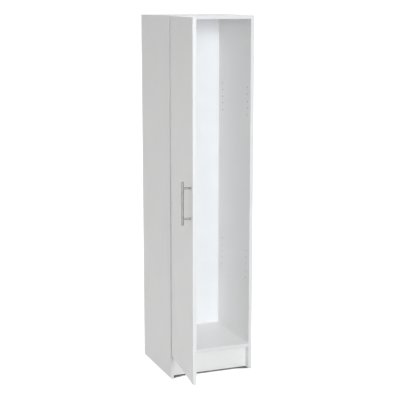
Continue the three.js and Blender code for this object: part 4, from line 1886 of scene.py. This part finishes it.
        plate = Solid.prism(Axis.Y, self.flange_plan(centre), face, face + self.flange, NICKEL)
        lip = -top + self.flange_ease
        shell = plate.rounded(self.flange_ease, where=on_rim).joined(
            drum([(0.0, lip), (CUP_RADIUS, lip)], self.cup_depth, [(0.0, self.cup_depth)]))
        inside, floor = CUP_RADIUS - self.cup_wall, self.cup_depth - self.cup_floor
        dimple, deepest = self.dimple_radius, floor + self.dimple_depth
        hollow = drum([
            (0.0, -top - OVERRUN), (inside + self.flange_ease + OVERRUN, -top - OVERRUN),
            (inside, lip),
        ], floor, [(dimple, floor), (dimple * self.dimple_slope, deepest), (0.0, deepest)])
        notch = Solid.block(
            Vector((centre.x - self.flange_radius - OVERRUN, centre.y - self.gap / 2,
                    -self.notch_half)),
            Vector((centre.x, centre.y + top + OVERRUN, self.notch_half)), NICKEL)
        ear_x = centre.x + EAR_FROM_EDGE - CUP_FROM_EDGE
        holes = [
            bore(Axis.Y, Vector((ear_x, face + self.flange, way * EAR_SPACING / 2)), -1,
                 self.wood_shank + self.gap, self.flange + OVERRUN, self.hole_rim, NICKEL)
            for way in (-1, 1)
        ]
        shell = shell.cut(hollow).cut(notch, *holes)
        return shell.joined(*self.lug(self.outer_cup_pin, -1), *self.lug(self.inner_cup_pin, 1))

    def lug(self, pin: Point2, way: int) -> list[Solid]:
        """Makes a lug on the cup's floor beside a link, and the link's pin in it.

        Args:
            pin: The pin's distance from the door's edge and below its face.
            way: The side of the links that it stands on, -1 or 1.

        Returns:
            The lug and the pin.
        """
        near = way * self.inner_half
        far = near + way * self.lug_thickness
        spot = self.place.point(*pin, 0.0)
        half = self.lug_width / 2
        floor_y = self.place.point(0.0, self.cup_depth - self.cup_floor / 2, 0.0).y
        arc = [(spot.x + half * math.cos(turn), spot.y + half * self.lug_crown * math.sin(turn))
               for turn in quarter_turns(self.lug_steps, 2)]
        outline = [(spot.x + half, floor_y), *arc, (spot.x - half, floor_y)]
        post = Solid.prism(Axis.Z, outline, min(near, far), max(near, far), NICKEL)
        start = way * (self.gap + self.link_width + self.gap / 2)
        rod = Solid.rod(Axis.Z, self.pin_radius, (start, far + way * self.lug_pin_end), spot,
                        NICKEL, sides=Sides.SMALL)
        return [post, rod]

    def spring(self) -> Solid:
        """Makes the closing spring: two turns round the inner pin and a leg along the floor.

        Returns:
            The spring.
        """
        spot = self.place.point(*self.inner_cup_pin, 0.0)
        start = self.inner_half + self.lug_thickness + self.wire + self.wire_gap
        path = []
        for step in range(self.coil_turns * self.coil_steps + 1):
            turn = 2 * math.pi * step / self.coil_steps
            path.append(spot + Vector((
                self.coil_radius * math.cos(turn), self.coil_radius * math.sin(turn),
                start + self.coil_pitch * step / self.coil_steps)))
        floor_y = self.place.point(0.0, self.cup_depth - self.cup_floor - self.leg_lift, 0.0).y
        last = path[-1]
        heights = (last.y - self.leg_drop, (last.y + floor_y) / 2, floor_y, floor_y)
        path += [Vector((last.x + along, y, last.z)) for along, y in zip(self.leg_places, heights)]
        return Solid.tube(path, self.wire, ZINC_PLATE)


@dataclass(frozen=True)
class Lamp:
    """A soft square studio lamp."""

    name: str
    place: Point3
    power: float
    size: float
    colour: Point3 = (0.965, 0.985, 1.0)

    def hang(self, aim: Point3) -> None:
        """Makes the lamp and turns it to face a point.

        Args:
            aim: The point.
        """
        light = bpy.data.lights.new(self.name, "AREA")
        light.energy = self.power
        light.size = self.size
        light.color = self.colour
        lamp = shown(self.name, light)
        lamp.location = self.place
        lamp.rotation_mode = "QUATERNION"
        lamp.rotation_quaternion = (Vector(self.place) - Vector(aim)).to_track_quat("Z", "Y")


@dataclass
class Studio(Assembly):
    """The plain pale floor, the soft light and the camera at the photograph's angle."""

    image_pixels: float = 400.0
    sensor: float = 36.0
    focal_pixels: float = 1077.2
    camera_place: Point3 = (-1.8024, -4.5022, 1.7214)
    camera_turn: float = 0.3728
    camera_tilt: float = -0.1844
    floor_radius: float = 30.0
    front_span: Point2 = (-0.35, 0.35)
    front_glow: Point2 = (0.12, 0.45)
    below_span: Point2 = (-0.35, -0.05)
    below_glow: float = 0.2
    above_span: Point2 = (0.1, 0.4)
    above_glow: float = 0.46
    backdrop: float = 1.15
    lamps: tuple[Lamp, ...] = (
        Lamp("high_lamp", (-0.7, -6.3, 2.4), 200.0, 2.0),
        Lamp("low_lamp", (-0.4, -5.0, 0.3), 26.0, 1.2),
    )
    lamp_aim: Point3 = (0.0, 0.0, 0.9)

    def build(self) -> None:
        """Makes the floor, the lights and the camera."""
        self.floor()
        self.surround()
        for lamp in self.lamps:
            lamp.hang(self.lamp_aim)
        self.camera()
        bpy.context.scene.view_settings.view_transform = "Standard"

    def floor(self) -> None:
        """Makes the floor, a wide disc that the cupboard stands on."""
        shape = bmesh.new()
        bmesh.ops.create_circle(shape, cap_ends=True, segments=Sides.LARGE,
                                radius=self.floor_radius)
        floor = shown("studio_floor", Solid.shaped(shape, FLOOR_PAPER).mesh)
        floor.visible_diffuse = False

    def surround(self) -> None:
        """Makes the light from all round, dimmest straight in front, and the white backdrop."""
        world = bpy.data.worlds.new("studio_surround")
        bpy.context.scene.world = world
        world.use_nodes = True
        graph = NodeGraph(world.node_tree)
        seen = graph.add("ShaderNodeLightPath").outputs["Is Camera Ray"]
        way = graph.add("ShaderNodeTexCoord").outputs["Generated"]
        ways = graph.add("ShaderNodeSeparateXYZ", {"Vector": way}).outputs
        level = graph.spread(ways["Y"], self.front_span, self.front_glow)
        below = graph.spread(ways["Z"], self.below_span, (self.below_glow, 0.0))
        above = graph.spread(ways["Z"], self.above_span, (0.0, self.above_glow))
        strength = graph.maths("ADD", level, graph.maths("ADD", below, above))
        around, behind = (
            graph.add("ShaderNodeBackground", {"Color": WHITE, "Strength": glow})
            for glow in (strength, self.backdrop)
        )
        mixed = graph.add("ShaderNodeMixShader", {
            0: seen, 1: around.outputs["Background"], 2: behind.outputs["Background"]})
        graph.add("ShaderNodeOutputWorld", {"Surface": mixed.outputs["Shader"]})

    def camera(self) -> None:
        """Makes the camera at the photograph's place and angle."""
        lens = bpy.data.cameras.new("camera")
        lens.sensor_width = self.sensor
        lens.lens = self.focal_pixels / self.image_pixels * self.sensor
        camera = shown("camera", lens)
        camera.location = self.camera_place
        camera.rotation_euler = (math.pi / 2 + self.camera_tilt, 0.0, -self.camera_turn)
        bpy.context.scene.camera = camera


def main() -> None:
    """Builds the cupboard's pieces in order, then the studio."""
    logging.basicConfig(level=logging.INFO, format="%(name)s: %(message)s")
    screws = Screws()
    door_frame = DoorFrame.from_joint("door_swing", "door_panel")
    assemblies = (
        Carcass(BoardShop()),
        CamFittings(),
        Door(door_frame, BoardShop(edge_round=DOOR_EDGE_ROUND), screws),
        Hinges(door_frame, screws),
        Studio(),
    )
    for assembly in assemblies:
        before = set(bpy.data.objects)
        assembly.build()
        for piece in sorted(set(bpy.data.objects) - before, key=lambda one: one.name):
            log.info("%s: %s", type(assembly).__name__, piece.name)


if __name__ == "__main__":
    main()
